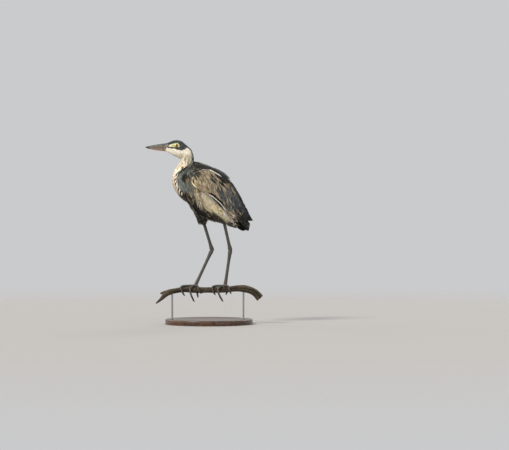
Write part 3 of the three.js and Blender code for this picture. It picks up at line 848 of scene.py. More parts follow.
@material
def feather_material(node, barb, fringe, rough, sheen):
    """Keratin vanes as grown: matt, split into barbs that streak each vane, dark along the shaft
    and paler at the worn edge. Barbs are 0.3 mm apart, drawn at about 1.5 mm so that they show."""
    tint = node("Attribute", TINT)
    vane = (node("Attribute", {"attribute_name": "vane"}), "Vector")  # across in mm, along in mm, random
    place = (node("Attribute", {"attribute_name": "place"}), "Vector")  # across -1 to 1, along 0 to 1, fringe
    run = node("SeparateXYZ", Vector=vane)
    spot = node("SeparateXYZ", Vector=place)
    outward = node("Math", {"operation": "ABSOLUTE"}, Value=run)
    slant = node("Math", {"operation": "MULTIPLY_ADD"}, Value=outward, Value_001=-1.5, Value_002=(run, "Y"))
    barbs = node("CombineXYZ", X=slant, Y=(run, "Z"))
    flat = {"noise_dimensions": "2D"}
    streaks = node("TexNoise", flat, Vector=barbs, Scale=barb, Detail=2.0, Roughness=0.6)
    shade = node("MapRange", Value=streaks, From_Min=0.25, From_Max=0.75, To_Min=0.68, To_Max=1.3)
    toned = node("HueSaturation", Color=tint, Value=shade)
    across = node("Math", {"operation": "ABSOLUTE"}, Value=spot)
    shaft = node("MapRange", SMOOTH, Value=across, From_Min=0.16, From_Max=0.02, To_Max=0.35)
    shafted = node("Mix", BLEND, Factor=shaft, A=toned, B=linear("#272523"))
    edge = node("MapRange", SMOOTH, Value=across, From_Min=0.55, From_Max=0.95)
    tip = node("MapRange", SMOOTH, Value=(spot, "Y"), From_Min=0.78, From_Max=0.97)
    rim = node("Math", {"operation": "MAXIMUM"}, Value=edge, Value_001=tip)
    worn = node("Math", {"operation": "MULTIPLY"}, Value=rim, Value_001=(spot, "Z"))
    edged = node("Mix", BLEND, Factor=worn, A=shafted, B=linear(fringe))
    relief = node("Bump", Height=streaks, Strength=0.35, Distance=0.0006)
    return node("BsdfPrincipled", Base_Color=edged, Normal=relief, Roughness=rough, IOR=1.54,
                 Specular_IOR_Level=0.2, Sheen_Weight=sheen, Sheen_Roughness=0.5)


@material
def skin_material(node):
    """Down as grown under the feathers: matt and soft, in the coat's own colours darkened as painted shade.
    """
    tint = node("Attribute", TINT)
    place = (node("TexCoord"), "Object")
    # Tufts of down are about 2 mm apart.
    fluff = node("TexNoise", Vector=place, Scale=420.0, Detail=4.0, Roughness=0.7)
    shade = node("MapRange", SMOOTH, Value=fluff, From_Min=0.35, From_Max=0.7, To_Min=0.5, To_Max=1.0)
    toned = node("HueSaturation", Color=tint, Value=shade)
    relief = node("Bump", Height=fluff, Strength=0.6, Distance=0.0015)
    return node("BsdfPrincipled", Base_Color=toned, Normal=relief, Roughness=0.95, Specular_IOR_Level=0.15)


@material
def face_material(node):
    """Bare facial skin, grown in pebbles about 1 mm across: thin and slightly oily, so it shines softly."""
    tint = node("Attribute", TINT)
    place = (node("TexCoord"), "Object")
    pebbles = node("TexVoronoi", Vector=place, Scale=900.0)
    blotch = node("TexNoise", Vector=place, Scale=260.0, Detail=3.0)
    shade = node("MapRange", SMOOTH, Value=blotch, From_Min=0.35, From_Max=0.65, To_Min=0.78, To_Max=1.05)
    toned = node("HueSaturation", Color=tint, Value=shade)
    relief = node("Bump", Height=pebbles, Strength=0.25, Distance=0.0003)
    return node("BsdfPrincipled", Base_Color=toned, Normal=relief, Roughness=0.42, IOR=1.42,
                 Subsurface_Weight=0.12, Subsurface_Scale=0.002)


@material
def leg_material(node):
    """Horny scales as grown on the leg: plates about 3 mm across, dark, with dusty paler seams."""
    place = (node("TexCoord"), "Object")
    squash = node("Mapping", Vector=place, Scale=(1.0, 1.0, 0.62))
    cells = {"Vector": squash, "Scale": 330.0, "Randomness": 0.6}
    plates = node("TexVoronoi", {"feature": "DISTANCE_TO_EDGE"}, **cells)
    each = node("TexVoronoi", **cells)
    blotch = node("TexNoise", Vector=place, Scale=55.0, Detail=3.0)
    patch = node("MapRange", SMOOTH, Value=blotch, From_Min=0.38, From_Max=0.62, To_Min=0.75, To_Max=1.3)
    tone = node("HueSaturation", Color=pick("leg"), Value=patch)
    single = node("SeparateColor", Color=(each, "Color"))
    plate = node("MapRange", Value=single, To_Min=0.8, To_Max=1.2)
    toned = node("HueSaturation", Color=tone, Value=plate)
    seam = node("MapRange", SMOOTH, Value=plates, From_Min=0.14, From_Max=0.02, To_Max=0.6)
    seamed = node("Mix", BLEND, Factor=seam, A=toned, B=pick("leg_edge"))
    swell = node("MapRange", SMOOTH, Value=plates, From_Max=0.3)
    relief = node("Bump", Height=swell, Strength=0.7, Distance=0.0006)
    return node("BsdfPrincipled", Base_Color=seamed, Normal=relief, Roughness=0.55, IOR=1.5)


@material
def horn_material(node):
    """Bill horn as grown: satin keratin with growth streaks running to the tip, about 1 mm apart."""
    tint = node("Attribute", TINT)
    grain = (node("Attribute", {"attribute_name": "vane"}), "Vector")  # round the bill in mm, along it in mm
    stretch = node("Mapping", Vector=grain, Scale=(0.9, 0.07, 1.0))
    streaks = node("TexNoise", Vector=stretch, Scale=1.6, Detail=4.0, Roughness=0.6)
    shade = node("MapRange", SMOOTH, Value=streaks, From_Min=0.32, From_Max=0.68, To_Min=0.66, To_Max=1.15)
    toned = node("HueSaturation", Color=tint, Value=shade)
    relief = node("Bump", Height=streaks, Strength=0.3, Distance=0.0004)
    return node("BsdfPrincipled", Base_Color=toned, Normal=relief, Roughness=0.38, IOR=1.54,
                 Coat_Weight=0.15, Coat_Roughness=0.3)


@material
def eye_material(node):
    """A living eye, wet with tears: a clear, mirror-smooth cornea, which gives one sharp highlight."""
    tint = node("Attribute", TINT)
    place = (node("TexCoord"), "Object")
    # The iris has fibres about 0.5 mm apart.
    flecks = node("TexNoise", Vector=place, Scale=1600.0, Detail=2.0)
    shade = node("MapRange", SMOOTH, Value=flecks, From_Min=0.3, From_Max=0.7, To_Min=0.8, To_Max=1.05)
    toned = node("HueSaturation", Color=tint, Value=shade)
    return node("BsdfPrincipled", Base_Color=toned, Roughness=0.1, IOR=1.38, Coat_Weight=1.0,
                 Coat_Roughness=0.02, Coat_IOR=1.38)


@material
def claw_material(node):
    """Claw horn as grown, worn smooth on bark: dark and satin, paler where it is scuffed."""
    place = (node("TexCoord"), "Object")
    # Scuffs are about 2 mm long.
    scuffs = node("TexNoise", Vector=place, Scale=500.0, Detail=3.0)
    shade = node("MapRange", SMOOTH, Value=scuffs, From_Min=0.4, From_Max=0.75, To_Min=1.0, To_Max=2.2)
    toned = node("HueSaturation", Color=pick("claw"), Value=shade)
    relief = node("Bump", Height=scuffs, Strength=0.2, Distance=0.0003)
    return node("BsdfPrincipled", Base_Color=toned, Normal=relief, Roughness=0.35, IOR=1.54)


@material
def wood_material(node):
    """Dead hardwood weathered outdoors: silvered ridges and dark drying cracks along the grain,
    about 3 mm apart, all quite matt."""
    grain = (node("Attribute", {"attribute_name": "grain"}), "Vector")  # round the branch and along it, in mm
    hollow = node("Attribute", {"attribute_name": "hollow"})
    place = (node("TexCoord"), "Object")
    wood, dark, pale = (pick(name) for name in ("bark", "bark_dark", "bark_pale"))
    broad = node("TexNoise", Vector=place, Scale=34.0, Detail=5.0, Roughness=0.6)
    fibre = node("Mapping", Vector=grain, Scale=(1.0, 1.0, 0.11))
    lines = node("TexNoise", Vector=fibre, Scale=0.34, Detail=6.0, Roughness=0.7, Distortion=0.8)
    fine = node("TexNoise", Vector=fibre, Scale=1.3, Detail=3.0, Roughness=0.6)
    patch = node("MapRange", SMOOTH, Value=broad, From_Min=0.36, From_Max=0.66, To_Min=0.6, To_Max=1.25)
    tone = node("HueSaturation", Color=wood, Value=patch)
    sunned = node("MapRange", SMOOTH, Value=lines, From_Min=0.5, From_Max=0.74, To_Max=0.8)
    ridge = node("Mix", BLEND, Factor=sunned, A=tone, B=pale)
    split = node("MapRange", SMOOTH, Value=lines, From_Min=0.44, From_Max=0.33)
    crack = node("Mix", BLEND, Factor=split, A=ridge, B=dark)
    deep = node("MapRange", SMOOTH, Value=(hollow, "Fac"), From_Min=0.25, To_Max=0.9)
    sunk = node("Mix", BLEND, Factor=deep, A=crack, B=dark)
    shade = node("MapRange", SMOOTH, Value=fine, From_Min=0.3, From_Max=0.7, To_Min=0.7, To_Max=1.2)
    toned = node("HueSaturation", Color=sunk, Value=shade)
    rise = node("Math", {"operation": "MULTIPLY_ADD"}, Value=fine, Value_001=0.4, Value_002=lines)
    relief = node("Bump", Height=rise, Strength=0.8, Distance=0.0016)
    return node("BsdfPrincipled", Base_Color=toned, Normal=relief, Roughness=0.88, IOR=1.5,
                 Specular_IOR_Level=0.25)


@material
def walnut_material(node):
    """Turned walnut under satin oil: brown, with dark grain bands about 15 mm apart, pores between
    them, and an even soft shine."""
    dark = pick("walnut_dark")
    place = (node("TexCoord"), "Object")
    plank = node("Mapping", Vector=place, Scale=(1.0, 12.0, 12.0))
    bands = node("TexNoise", Vector=plank, Scale=5.0, Detail=5.0, Roughness=0.55, Distortion=0.7)
    pores = node("Mapping", Vector=place, Scale=(1.0, 26.0, 26.0))
    lines = node("TexNoise", Vector=pores, Scale=30.0, Detail=2.0)
    light = node("MapRange", SMOOTH, Value=bands, From_Min=0.35, From_Max=0.65)
    tone = node("Mix", BLEND, Factor=light, A=dark, B=pick("walnut"))
    open_pore = node("MapRange", SMOOTH, Value=lines, From_Min=0.62, From_Max=0.72)
    pored = node("Mix", BLEND, Factor=open_pore, A=tone, B=dark * 0.7)
    relief = node("Bump", Height=lines, Strength=0.1, Distance=0.0003)
    return node("BsdfPrincipled", Base_Color=pored, Normal=relief, Roughness=0.38, IOR=1.5,
                 Coat_Weight=0.25, Coat_Roughness=0.25)


@material
def steel_material(node):
    """Drawn stainless rod, brushed along its length: bright, with softened reflections. The brush
    lines are under 0.1 mm apart and are drawn at 0.6 mm so that they show."""
    place = (node("TexCoord"), "Object")
    drawn = node("Mapping", Vector=place, Scale=(1.0, 1.0, 0.02))
    lines = node("TexNoise", Vector=drawn, Scale=1600.0, Detail=2.0)
    shade = node("MapRange", Value=lines, To_Min=0.8, To_Max=1.1)
    toned = node("HueSaturation", Color=pick("steel"), Value=shade)
    rough = node("MapRange", Value=lines, To_Min=0.25, To_Max=0.42)
    return node("BsdfPrincipled", Base_Color=toned, Roughness=rough, Metallic=1.0)


@material
def floor_material(node):
    """Seamless paper rolled out as a floor: matt, with fibres under 1 mm, fading into the pale air."""
    place = (node("TexCoord"), "Object")
    out = node("VectorMath", {"operation": "LENGTH"}, Vector=place)
    fibres = node("TexNoise", Vector=place, Scale=900.0, Detail=2.0)
    shade = node("MapRange", Value=fibres, To_Min=0.98, To_Max=1.02)
    toned = node("HueSaturation", Color=pick("floor"), Value=shade)
    solid = node("MapRange", SMOOTH, Value=(out, "Value"), From_Min=FADE_ENDS, From_Max=FADE_BEGINS)
    return node("BsdfPrincipled", Base_Color=toned, Alpha=solid, Roughness=0.9, Specular_IOR_Level=0.1)


# ---- The skin ----


# The coat's depth on each kind of part, from the head to the bill, as a share of the body's.
COAT_SHARES = np.array([0.4, 0.75, 1, 0.5, 0.35, 0.85, 0, 0.6])


def coat_depth(points, kinds):
    """How far the skin lies under the form, in mm."""
    share = COAT_SHARES[kinds]
    bald = np.maximum(bare_face(points, 1.0), bill_base(points))
    share = np.where(kinds == HEAD, share * (1 - bald), share)
    rear = step(in_body(points)[:, 1], 200, 300)
    share = np.where(kinds == WING, share * (1 - 0.6 * rear), share)
    return share * pick("depth") / MM


def lid_shape(points):
    """Sinks the skin behind each eye's ball and raises a rim round its opening."""
    x, s, h = in_head(points).T
    moved = x
    for side in SIDES.values():
        out = np.hypot(s - EYE_CENTRE[1], (h - EYE_CENTRE[2]) * 1.06)
        ball = EYE_CENTRE[0] + np.sqrt(np.maximum(EYE_RADIUS**2 - np.minimum(out, 8.5) ** 2, 0))
        rim = ball + 0.25 + 0.5 * bell(out, LID_RADIUS + 0.7, 0.55)
        inside = step(out, LID_RADIUS + 0.15, LID_RADIUS - 0.35)
        target = rim * (1 - inside) + (ball - 1.6) * inside
        share = 1 - step(out, LID_RADIUS + 1.6, 9.5)
        near = (out < 11) & (x * side > 5)
        moved = np.where(near, (np.abs(x) * (1 - share) + target * share) * side, moved)
    return np.where((moved != x)[:, None], on_head(np.column_stack([moved, s, h])), points)


def skin_tint(points, kinds, bare, horny):
    """The coat's own marks, darkened as painted shade between the feathers, with the bare face, the lids and
    the bill's base.
    """
    _, s, h = in_head(points).T
    eye = np.hypot(s - EYE_CENTRE[1], h - EYE_CENTRE[2])
    skin = over("face", "cheek", 0.4 * step(s, 60, 74))
    skin = skin * (1 - 0.7 * bell(s, 63, 6) * bell(h, 23.5, 2.2))[:, None]
    skin = over(skin, 0.4 * pick("face") + 0.6 * pick("lid"), step(eye, 9, 5.5))
    skin = skin * (1 - step(eye, 6.3, 5.6) * 0.85)[:, None]
    skin = over(skin, np.where(h[:, None] > MOUTH_LINE, pick("horn"), pick("horn_flesh")), horny)
    # Painted shade: the down between the feathers is the coat's marks darkened, less on the head.
    coat_marks_in_shade = markings(points, kinds) * (0.55 + 0.3 * (kinds == HEAD))[:, None]
    return over(coat_marks_in_shade, skin, bare)


def build_skin():
    """Draws the form in by the coat's depth, and shapes and colours what shows of the skin."""
    base, kinds = form()
    made = linked("skin", base.data.copy())
    depth = relaxed(coat_depth(points_of(made), kinds), edges_of(made), 4)
    set_points(made, points_of(made) - lying_surface().normals * depth)
    # Finer faces round the eyes, for the lids.
    with editing(made) as shape:
        x, s, h = in_head(np.array([v.co[:] for v in shape.verts]) / MM).T
        close = (np.hypot(s - EYE_CENTRE[1], h - EYE_CENTRE[2]) < 10) & (np.abs(x) > 8)
        chosen = [e for e in shape.edges if close[e.verts[0].index] and close[e.verts[1].index]]
        bmesh.ops.subdivide_edges(shape, edges=chosen, cuts=3, use_grid_fill=True)
        bmesh.ops.triangulate(shape, faces=[f for f in shape.faces if len(f.verts) > 4])
    points = lid_shape(points_of(made))
    set_points(made, points)
    kinds = kinds_at(points)
    horny = bill_base(points) * (kinds == HEAD)
    bare = np.maximum(bare_face(points, 0.6) * (kinds == HEAD), horny)
    add_attribute(made, "tint", skin_tint(points, kinds, bare, horny))
    finish_piece(made, skin_material("Down over skin"), FLESH)
    made.data.materials.append(face_material("Bare facial skin"))
    made.data.materials.append(leg_material("Scaly leg skin"))
    role = np.where(kinds == LEG, 2, np.where(bare > 0.5, 1, 0)).astype(np.int32)
    first = read(made.data.loops, "vertex_index")[read(made.data.polygons, "loop_start")]
    made.data.polygons.foreach_set("material_index", role[first])
    unwrap(made)


# ---- The coat's map ----

PATCH = 0.003  # side of each feather's patch of the map


@functools.cache
def skin_map():
    """A coarse copy of the form with its unwrap: its surface, tree and each triangle's map corners."""
    made = modified(linked("map_form", form()[0].data.copy()), "DECIMATE", ratio=0.06)
    unwrap(made)
    surface = Patch(points_of(made), triangles_of(made))
    loops = read(made.data.loop_triangles, "loops", 3)
    places = read(made.data.uv_layers["OFBake"].uv, "vector", 2, np.float32)[loops].astype(float)
    bpy.data.objects.remove(made)
    return surface, tree_of(surface.points, surface.triangles), places


def unwrap(made):
    """Unwraps a mesh by the directions of its own faces."""
    made.data.uv_layers.active = made.data.uv_layers.new(name="OFBake")
    bpy.ops.object.select_all(action="DESELECT")
    made.select_set(True)
    bpy.context.view_layer.objects.active = made
    bpy.ops.object.mode_set(mode="EDIT")
    bpy.ops.mesh.select_all(action="SELECT")
    bpy.ops.uv.smart_project(angle_limit=math.radians(66), island_margin=0.002)
    bpy.ops.object.mode_set(mode="OBJECT")


def map_places(points):
    """The place of each point on the coarse form's unwrap."""
    surface, tree, places = skin_map()
    hits, faces = nearest_on(tree, points)
    a, b, c = (surface.points[surface.triangles[faces, k]] for k in range(3))
    normal = surface.crosses[faces]
    area = np.maximum((normal**2).sum(1), 1e-9)
    at_b = (np.cross(hits - a, c - a) * normal).sum(1) / area
    at_c = (np.cross(b - a, hits - a) * normal).sum(1) / area
    weights = np.stack([1 - at_b - at_c, at_b, at_c], 1)
    return np.clip((places[faces] * weights[..., None]).sum(1), PATCH, 1 - PATCH)


# ---- Feathers ----


# Runs of the plumage from front to rear on the left side, in the head's and in the body's frame.
HEAD_RUNS = (
    [[0, 92, 33], [0, 72, 41], [0, 40, 48], [0, 10, 30], [0, -12, 14], [0, -22, 0]],
    [[12, 90, 16], [19, 60, 10], [23, 36, 4], [22, 10, -8], [17, -10, -18]],
    [[13, 86, 27], [18, 60, 34], [21, 38, 32], [20, 14, 14], [14, -12, 4]],
    [[0, 90, -3], [0, 60, -18], [0, 30, -35], [0, 6, -44]],
)
BODY_RUNS = (
    [[0, -34, 62], [0, 0, 92], [0, 54, 107], [0, 150, 103], [0, 238, 66], [0, 320, 8]],
    [[26, -26, 50], [42, 10, 72], [56, 60, 76], [56, 110, 74], [48, 170, 66], [30, 260, 30]],
    [[30, -26, 20], [48, 10, 20], [58, 60, -4], [60, 120, -20], [48, 200, -34], [22, 300, -44]],
    [[24, -12, -40], [42, 30, -62], [52, 90, -72], [47, 160, -74], [34, 220, -70], [18, 290, -62]],
    [[0, 20, -84], [0, 60, -92], [0, 110, -101], [0, 170, -97], [0, 235, -81], [0, 305, -62]],
)


@functools.cache
def guides():
    """Places with the way that the plumage runs there, and the length and width of its feathers."""
    rows = []

    def run(points, lengths, widths):
        points = smooth_rows(points, np.linspace(0, 1, 5 * len(points)))
        share = np.linspace(0, 1, len(points))
        sizes = [np.interp(share, np.linspace(0, 1, len(size)), size) for size in (lengths, widths)]
        rows.append(np.column_stack([points, unit(np.gradient(points, axis=0)), *sizes]))

    middle, front, radius = neck_path()
    for side in (-1, 1):
        for line in HEAD_RUNS:
            run(on_head(np.array(line) * [side, 1, 1]), [6, 6.5, 8, 10], [2.6, 2.8, 3.2, 3.6])
        for degrees in (0, 45, 90, 135, 180):
            angle = math.radians(degrees)
            ring = middle + radius[:, None] * (math.cos(angle) * front + math.sin(angle) * side * LEFTWARD)
            last = 136 if degrees < 100 else 96
            run(ring[12:last:8], [11, 13, 16, 22, 27, 30], [3.8, 4.4, 5, 5.6, 6.4, 8])
        for line in BODY_RUNS:
            run(on_body(np.array(line) * [side, 1, 1]), [30, 34, 38, 40, 42, 44], [11, 12.5, 14, 14, 14, 14])
    for side, forward, foot_back in ((1, 10, 50), (-1, -32, 30)):
        for turn in np.linspace(0, 2 * math.pi, 6, endpoint=False):
            out = np.array([math.cos(turn) * 22, math.sin(turn) * 28, 0])
            top = np.array([side * 36, forward, 506]) + out
            foot = np.array([side * 36, forward + foot_back, 438])
            line = [top, top * 0.5 + foot * 0.5 + out * 0.4, foot + out * 0.35]
            run(line, [22, 17, 10], [8, 6, 4])
    return np.concatenate(rows)


def lie_at(points, normals):
    """The way the plumage runs at places on the form, with the feathers' lengths and widths."""
    table = guides()
    ways, sizes = [], []
    for block in np.array_split(points, max(1, len(points) // 3000)):
        gap = ((block[:, None] - table[:, :3]) ** 2).sum(2)
        weight = 1 / (gap + 60) ** 2.2
        total = weight.sum(1, keepdims=True)
        ways.append(weight @ table[:, 3:6] / total)
        sizes.append(weight @ table[:, 6:8] / total)
    way = np.concatenate(ways)
    way = way - (way * normals).sum(1, keepdims=True) * normals
    return unit(way), np.concatenate(sizes)


def turned(ways, normals, angles):
    """Ways turned about the normals by angles in radians."""
    across = np.cross(normals, ways)
    return ways * np.cos(angles)[:, None] + across * np.sin(angles)[:, None]


CROWD = 5.0  # how many places are tried for each that fits
APART = 0.86  # how far two places keep apart at least, as a share of the spacing


def scatter(weights, spacing, surface, rng):
    """Evenly spread random places on a surface's triangles, where weights are over 0."""
    share = surface.areas * weights / spacing**2
    count = int(share.sum() * CROWD)
    chosen = np.sort(rng.choice(len(share), count, p=share / share.sum()))
    first, second = rng.uniform(size=(2, count, 1))
    flip = first + second > 1
    first, second = np.where(flip, 1 - first, first), np.where(flip, 1 - second, second)
    a, b, c = (surface.points[surface.triangles[chosen, k]] for k in range(3))
    places = a + (b - a) * first + (c - a) * second
    # Each place is tried against those kept in the cells round it, which are as large as its spacing.
    order = rng.permutation(count)
    level = np.floor(np.log2(spacing[chosen]) * 2).astype(int)
    cells = np.floor(places / (2 ** ((level + 1) / 2))[:, None]).astype(int).tolist()
    points, levels, limits = places.tolist(), level.tolist(), (spacing[chosen] * APART).tolist()
    kept, grid = [], {}
    for i in order.tolist():
        cx, cy, cz = cells[i]
        near = [
            q for dx in (-1, 0, 1) for dy in (-1, 0, 1) for dz in (-1, 0, 1)
            for q in grid.get((levels[i], cx + dx, cy + dy, cz + dz), ())
        ]
        if all(math.dist(points[i], q) >= limits[i] for q in near):
            grid.setdefault((levels[i], cx, cy, cz), []).append(points[i])
            kept.append(i)
    return places[kept], chosen[kept]


def draped(roots, lengths, steps, bends, lie=lie_at, stiff=0.0):
    """Paths laid along the form from each root, with the normals under them."""
    surface = lying_surface()
    places, normals = surface.nearest(roots)
    path, ups = [places], [normals]
    for _ in range(steps):
        way = turned(lie(path[-1], ups[-1])[0], ups[-1], bends)
        before = unit(path[-1] - path[-2]) if len(path) > 1 else way
        way = unit(way * (1 - stiff) + before * stiff)
        places, normals = surface.nearest(path[-1] + way * (lengths / steps)[:, None])
        path.append(places)
        ups.append(normals)
    return np.stack(path, 1), np.stack(ups, 1)


# Outlines: half width at equal shares of the length, root to tip, as a share of the widest.
OUTLINES = {
    "contour": [0.45, 0.8, 0.98, 1.0, 0.86, 0.5],
    "plume": [0.6, 1.0, 0.95, 0.72, 0.45, 0.2],
    "hair": [0.8, 1.0, 0.9, 0.66, 0.36],
    "lance": [0.5, 0.88, 1.0, 0.9, 0.66, 0.34],
    "quill": [0.5, 0.85, 0.98, 1.0, 1.0, 0.97, 0.9, 0.74, 0.42],
}
SECTION_FEW = np.array([[-1, 0], [0, 1], [1, 0], [0, -0.5]])
SECTION_MANY = np.array([[-1, 0], [-0.55, 0.66], [0, 1], [0.55, 0.66], [1, 0], [0, -0.4]])


# How uneven the vanes are: their height in mm, their lean about the shaft as a slope, and how far
# aside their tips lie as a share of half their width.
HEIGHT_JITTER, LEAN, TIP_ASIDE = 0.12, 0.06, 0.08
THIN_TIP = 0.55  # a vane's thickness at its tip, as a share of its root's


def stacked(*columns):
    """Arrays side by side, each spread to the shape of all."""
    return np.stack(np.broadcast_arrays(*columns), -1)


class Coat:
    """Gathers feathers, then makes one piece of them."""

    def __init__(self, name, rng):
        self.name, self.rng, self.count = name, rng, 0
        self.rows = collections.defaultdict(list)

    def grow(self, path, ups, widths, tints, outline="contour", rise=(0, 1), thick=0.5, droop=0.16,
             fringe=0.0, ragged=0.1, section=SECTION_FEW, tip_tints=None):
        """Adds one vane along each path; rise is its height over the path at the root and the tip."""
        shares, rng = np.array(OUTLINES[outline]), self.rng
        number, rings, k = len(path), len(shares), len(section)
        half = np.broadcast_to(widths, number)[:, None] / 2
        places = np.linspace(0, 1, rings + 1)
        at = places * (path.shape[1] - 1)
        low = np.clip(at.astype(int), 0, path.shape[1] - 2)
        t = (at - low)[:, None]
        line, up = (rows[:, low] * (1 - t) + rows[:, low + 1] * t for rows in (path, ups))
        way = unit(np.gradient(line, axis=1))
        across = unit(np.cross(way, unit(up)))
        up = np.cross(across, way)
        root_rise, tip_rise = (np.reshape(height, (-1, 1)) for height in rise)
        lift = root_rise + (tip_rise - root_rise) * places + rng.normal(size=(number, 1)) * HEIGHT_JITTER
        line = line + up * lift[..., None]
        uneven = 1 + ragged * rng.normal(size=(number, rings, k))
        reach = (half * shares)[..., None] * section[:, 0]
        side = reach * uneven
        height = thick * section[:, 1] * np.linspace(1, THIN_TIP, rings)[:, None]
        height = height - droop * reach * section[:, 0] + side * (rng.normal(size=(number, 1, 1)) * LEAN)
        ringed = line[:, :-1, None] + across[:, :-1, None] * side[..., None]
        ringed = ringed + up[:, :-1, None] * height[..., None]
        tip = line[:, -1] + across[:, -1] * (rng.normal(size=(number, 1)) * half * TIP_ASIDE)
        per = rings * k + 1
        last = np.arange(k) + per - 1 - k
        root = np.stack([np.zeros(k - 2, int), np.arange(2, k), np.arange(1, k - 1)], 1)
        start = self.count + np.arange(number)[:, None, None] * per
        self.count += number * per
        u = np.append(np.tile(section[:, 0], rings), 0)
        v = np.append(np.repeat(places[:-1], k), 1)
        wide = np.append(np.repeat(shares, k), 0) * u
        long = np.linalg.norm(np.diff(path, axis=1), axis=2).sum(1)[:, None]
        every = np.ones((number, 1))
        shade = np.broadcast_to(tints, (number, 3))[:, None] * np.ones((per, 1))
        if tip_tints is not None:
            shade = shade + (tip_tints[:, None] - shade) * (v**1.5)[:, None]
        for kind, rows in {
            "points": np.concatenate([ringed.reshape(number, -1, 3), tip[:, None]], 1),
            "quads": start + tube(rings, k),
            "triangles": start + np.concatenate([np.roll(cap(per - 1, last), -1, 1), root]),
            "tint": shade,
            "vane": stacked(wide * half, v * long, rng.uniform(0, 50, (number, 1))),
            "place": stacked(u * every, v, np.reshape(fringe, (-1, 1))),
            "map": map_places(path[:, 0])[:, None] + np.stack([u / 2, v - 0.5], 1) * PATCH,
        }.items():
            self.rows[kind].append(rows.reshape(-1, rows.shape[-1]))

    def finish(self, finish, slot):
        rows = {kind: np.concatenate(parts) for kind, parts in self.rows.items()}
        made = make_mesh(self.name, rows["points"], rows["quads"], rows["triangles"])
        for name in ("tint", "vane", "place"):
            add_attribute(made, name, rows[name])
        corners = read(made.data.loops, "vertex_index")
        layer = made.data.uv_layers.new(name="OFBake")
        layer.uv.foreach_set("vector", rows["map"][corners].astype(np.float32).ravel())
        finish_piece(made, finish, sharp=50)


def thinned():
    return 1.0


OVERLAP = 0.55  # how much of each feather's length lies under the one before it
SHOWN = 4  # the step of a feather's path at which it takes its colour
SPACING = 0.72  # between contour feathers, as a share of their width
ROOT_LIFT = 0.3  # how far over the skin the contour feathers' roots lie


def brightness(coat, number, spread):
    """A random brightness of each feather, near 1."""
    return np.exp(coat.rng.normal(size=(number, 1)) * spread)


def contour_feathers(coat, weights, dense=1.0, outline="contour", longer=1.0, tip=0.5, wild=0.1,
                     fringe=0.0, thick=0.45, droop=0.16, varied=0.16):
    """Feathers all over the form's triangles whose weight is 1."""
    surface, rng = lying_surface(), coat.rng
    live = weights > 0
    sizes = np.full((len(weights), 2), 5.0)
    sizes[live] = lie_at(surface.centres[live], surface.normals[surface.triangles[live, 0]])[1]
    picked, faces = scatter(weights, sizes[:, 1] * SPACING * thinned() / dense, surface, rng)
    number = len(picked)
    lengths = sizes[faces, 0] * longer * rng.uniform(0.85, 1.15, number)
    widths = sizes[faces, 1] * rng.uniform(0.85, 1.15, number) * 1
    way = lie_at(picked, surface.nearest(picked)[1])[0]
    roots = picked - way * (lengths * OVERLAP)[:, None]
    path, ups = draped(roots, lengths, 5, rng.normal(size=number) * wild)
    chance = rng.uniform(size=number)
    tints = markings(path[:, SHOWN], kinds_at(path[:, SHOWN]), chance) * brightness(coat, number, varied)
    root = ROOT_LIFT - coat_depth(path[:, 0], kinds_at(path[:, 0]))
    coat.grow(path, ups, widths, tints, outline, (root, tip), thick, droop, fringe)


def over_kind(kind):
    """1 on the form's triangles over this kind of part."""
    return (form()[1][lying_surface().triangles] == kind).mean(1) > 0.5


# ---- Wing and tail feathers ----


def on_wing(side, a, h):
    """Places on the folded wing's outer face, and the way out from it."""

    def place(a, h):
        middle, high, wide = (along(WING_ROUND, a, column) for column in (1, 2, 3))
        rise = np.clip((h - middle) / high, -0.985, 0.985)
        return on_body(np.stack([side * wide * np.sqrt(1 - rise**2), a, h], -1))

    here = place(a, h)
    out = np.cross(place(a + 2, h) - here, place(a, h + 2) - here)
    return here, unit(out) * np.sign((out * LEFTWARD).sum(-1, keepdims=True)) * side


def wing_way(a, h):
    """How steeply the wing's feathers slant below its length, in radians."""
    top, base = along(WING_UPPER, a), along(WING_LOWER, a)
    share = np.clip((h - base) / np.maximum(top - base, 1), 0, 1)
    slant = 41 - 24 * step(a, 160, 300) - 17 * step(share, 0.7, 1) - 20 * (1 - step(share, 0, 0.3))
    return np.radians(slant)


def wing_paths(side, a, h, lengths, bends):
    """Paths over the wing's outer face from each root, in steps of a fifth of the length."""
    rows = [(a, h)]
    for _ in range(5):
        slant = wing_way(a, h) + bends
        a, h = a + np.cos(slant) * lengths / 5, h - np.sin(slant) * lengths / 5
        rows.append((a, h))
    a, h = np.transpose(rows, (1, 2, 0))
    return on_wing(side, a, np.clip(h, along(WING_LOWER, a) - 3, along(WING_UPPER, a) + 1))


def quill_paths(side, roots, tips, sag):
    """Stiff curves over the wing's outer face from roots to tips, [a, h] each."""
    t = np.linspace(0, 1, 9)
    lines = roots[:, None] * (1 - t[:, None]) + tips[:, None] * t[:, None]
    return on_wing(side, lines[..., 0], lines[..., 1] + sag[:, None] * (4 * t * (1 - t)))


def fan(start, end, number):
    """So many points from start to end."""
    share = np.linspace(0, 1, number)[:, None]
    return np.array(start) * (1 - share) + np.array(end) * share


# Primaries, secondaries, outer and inner tertials: first and last root, first and last tip as
# [a, h], number, width, height over the wing at root and tip, tones there, and fringe.
QUILLS = (
    ((210, -14), (240, 14), (318, -12), (362, 7), 7, 22, -1.6, -0.9, "quill", "quill", 0.0),
    ((70, -5), (200, 8), (205, -32), (322, -10), 11, 22, -1.0, -0.3, "mantle", "quill", 0.25),
    ((120, 8), (205, 34), (250, -30), (336, 4), 7, 26, -0.6, 0.1, "covert_slate", "quill", 0.3),
    ((130, 62), (210, 84), (262, 6), (338, 18), 5, 24, -0.6, -0.2, "covert_dark", "quill", 0.3),
)


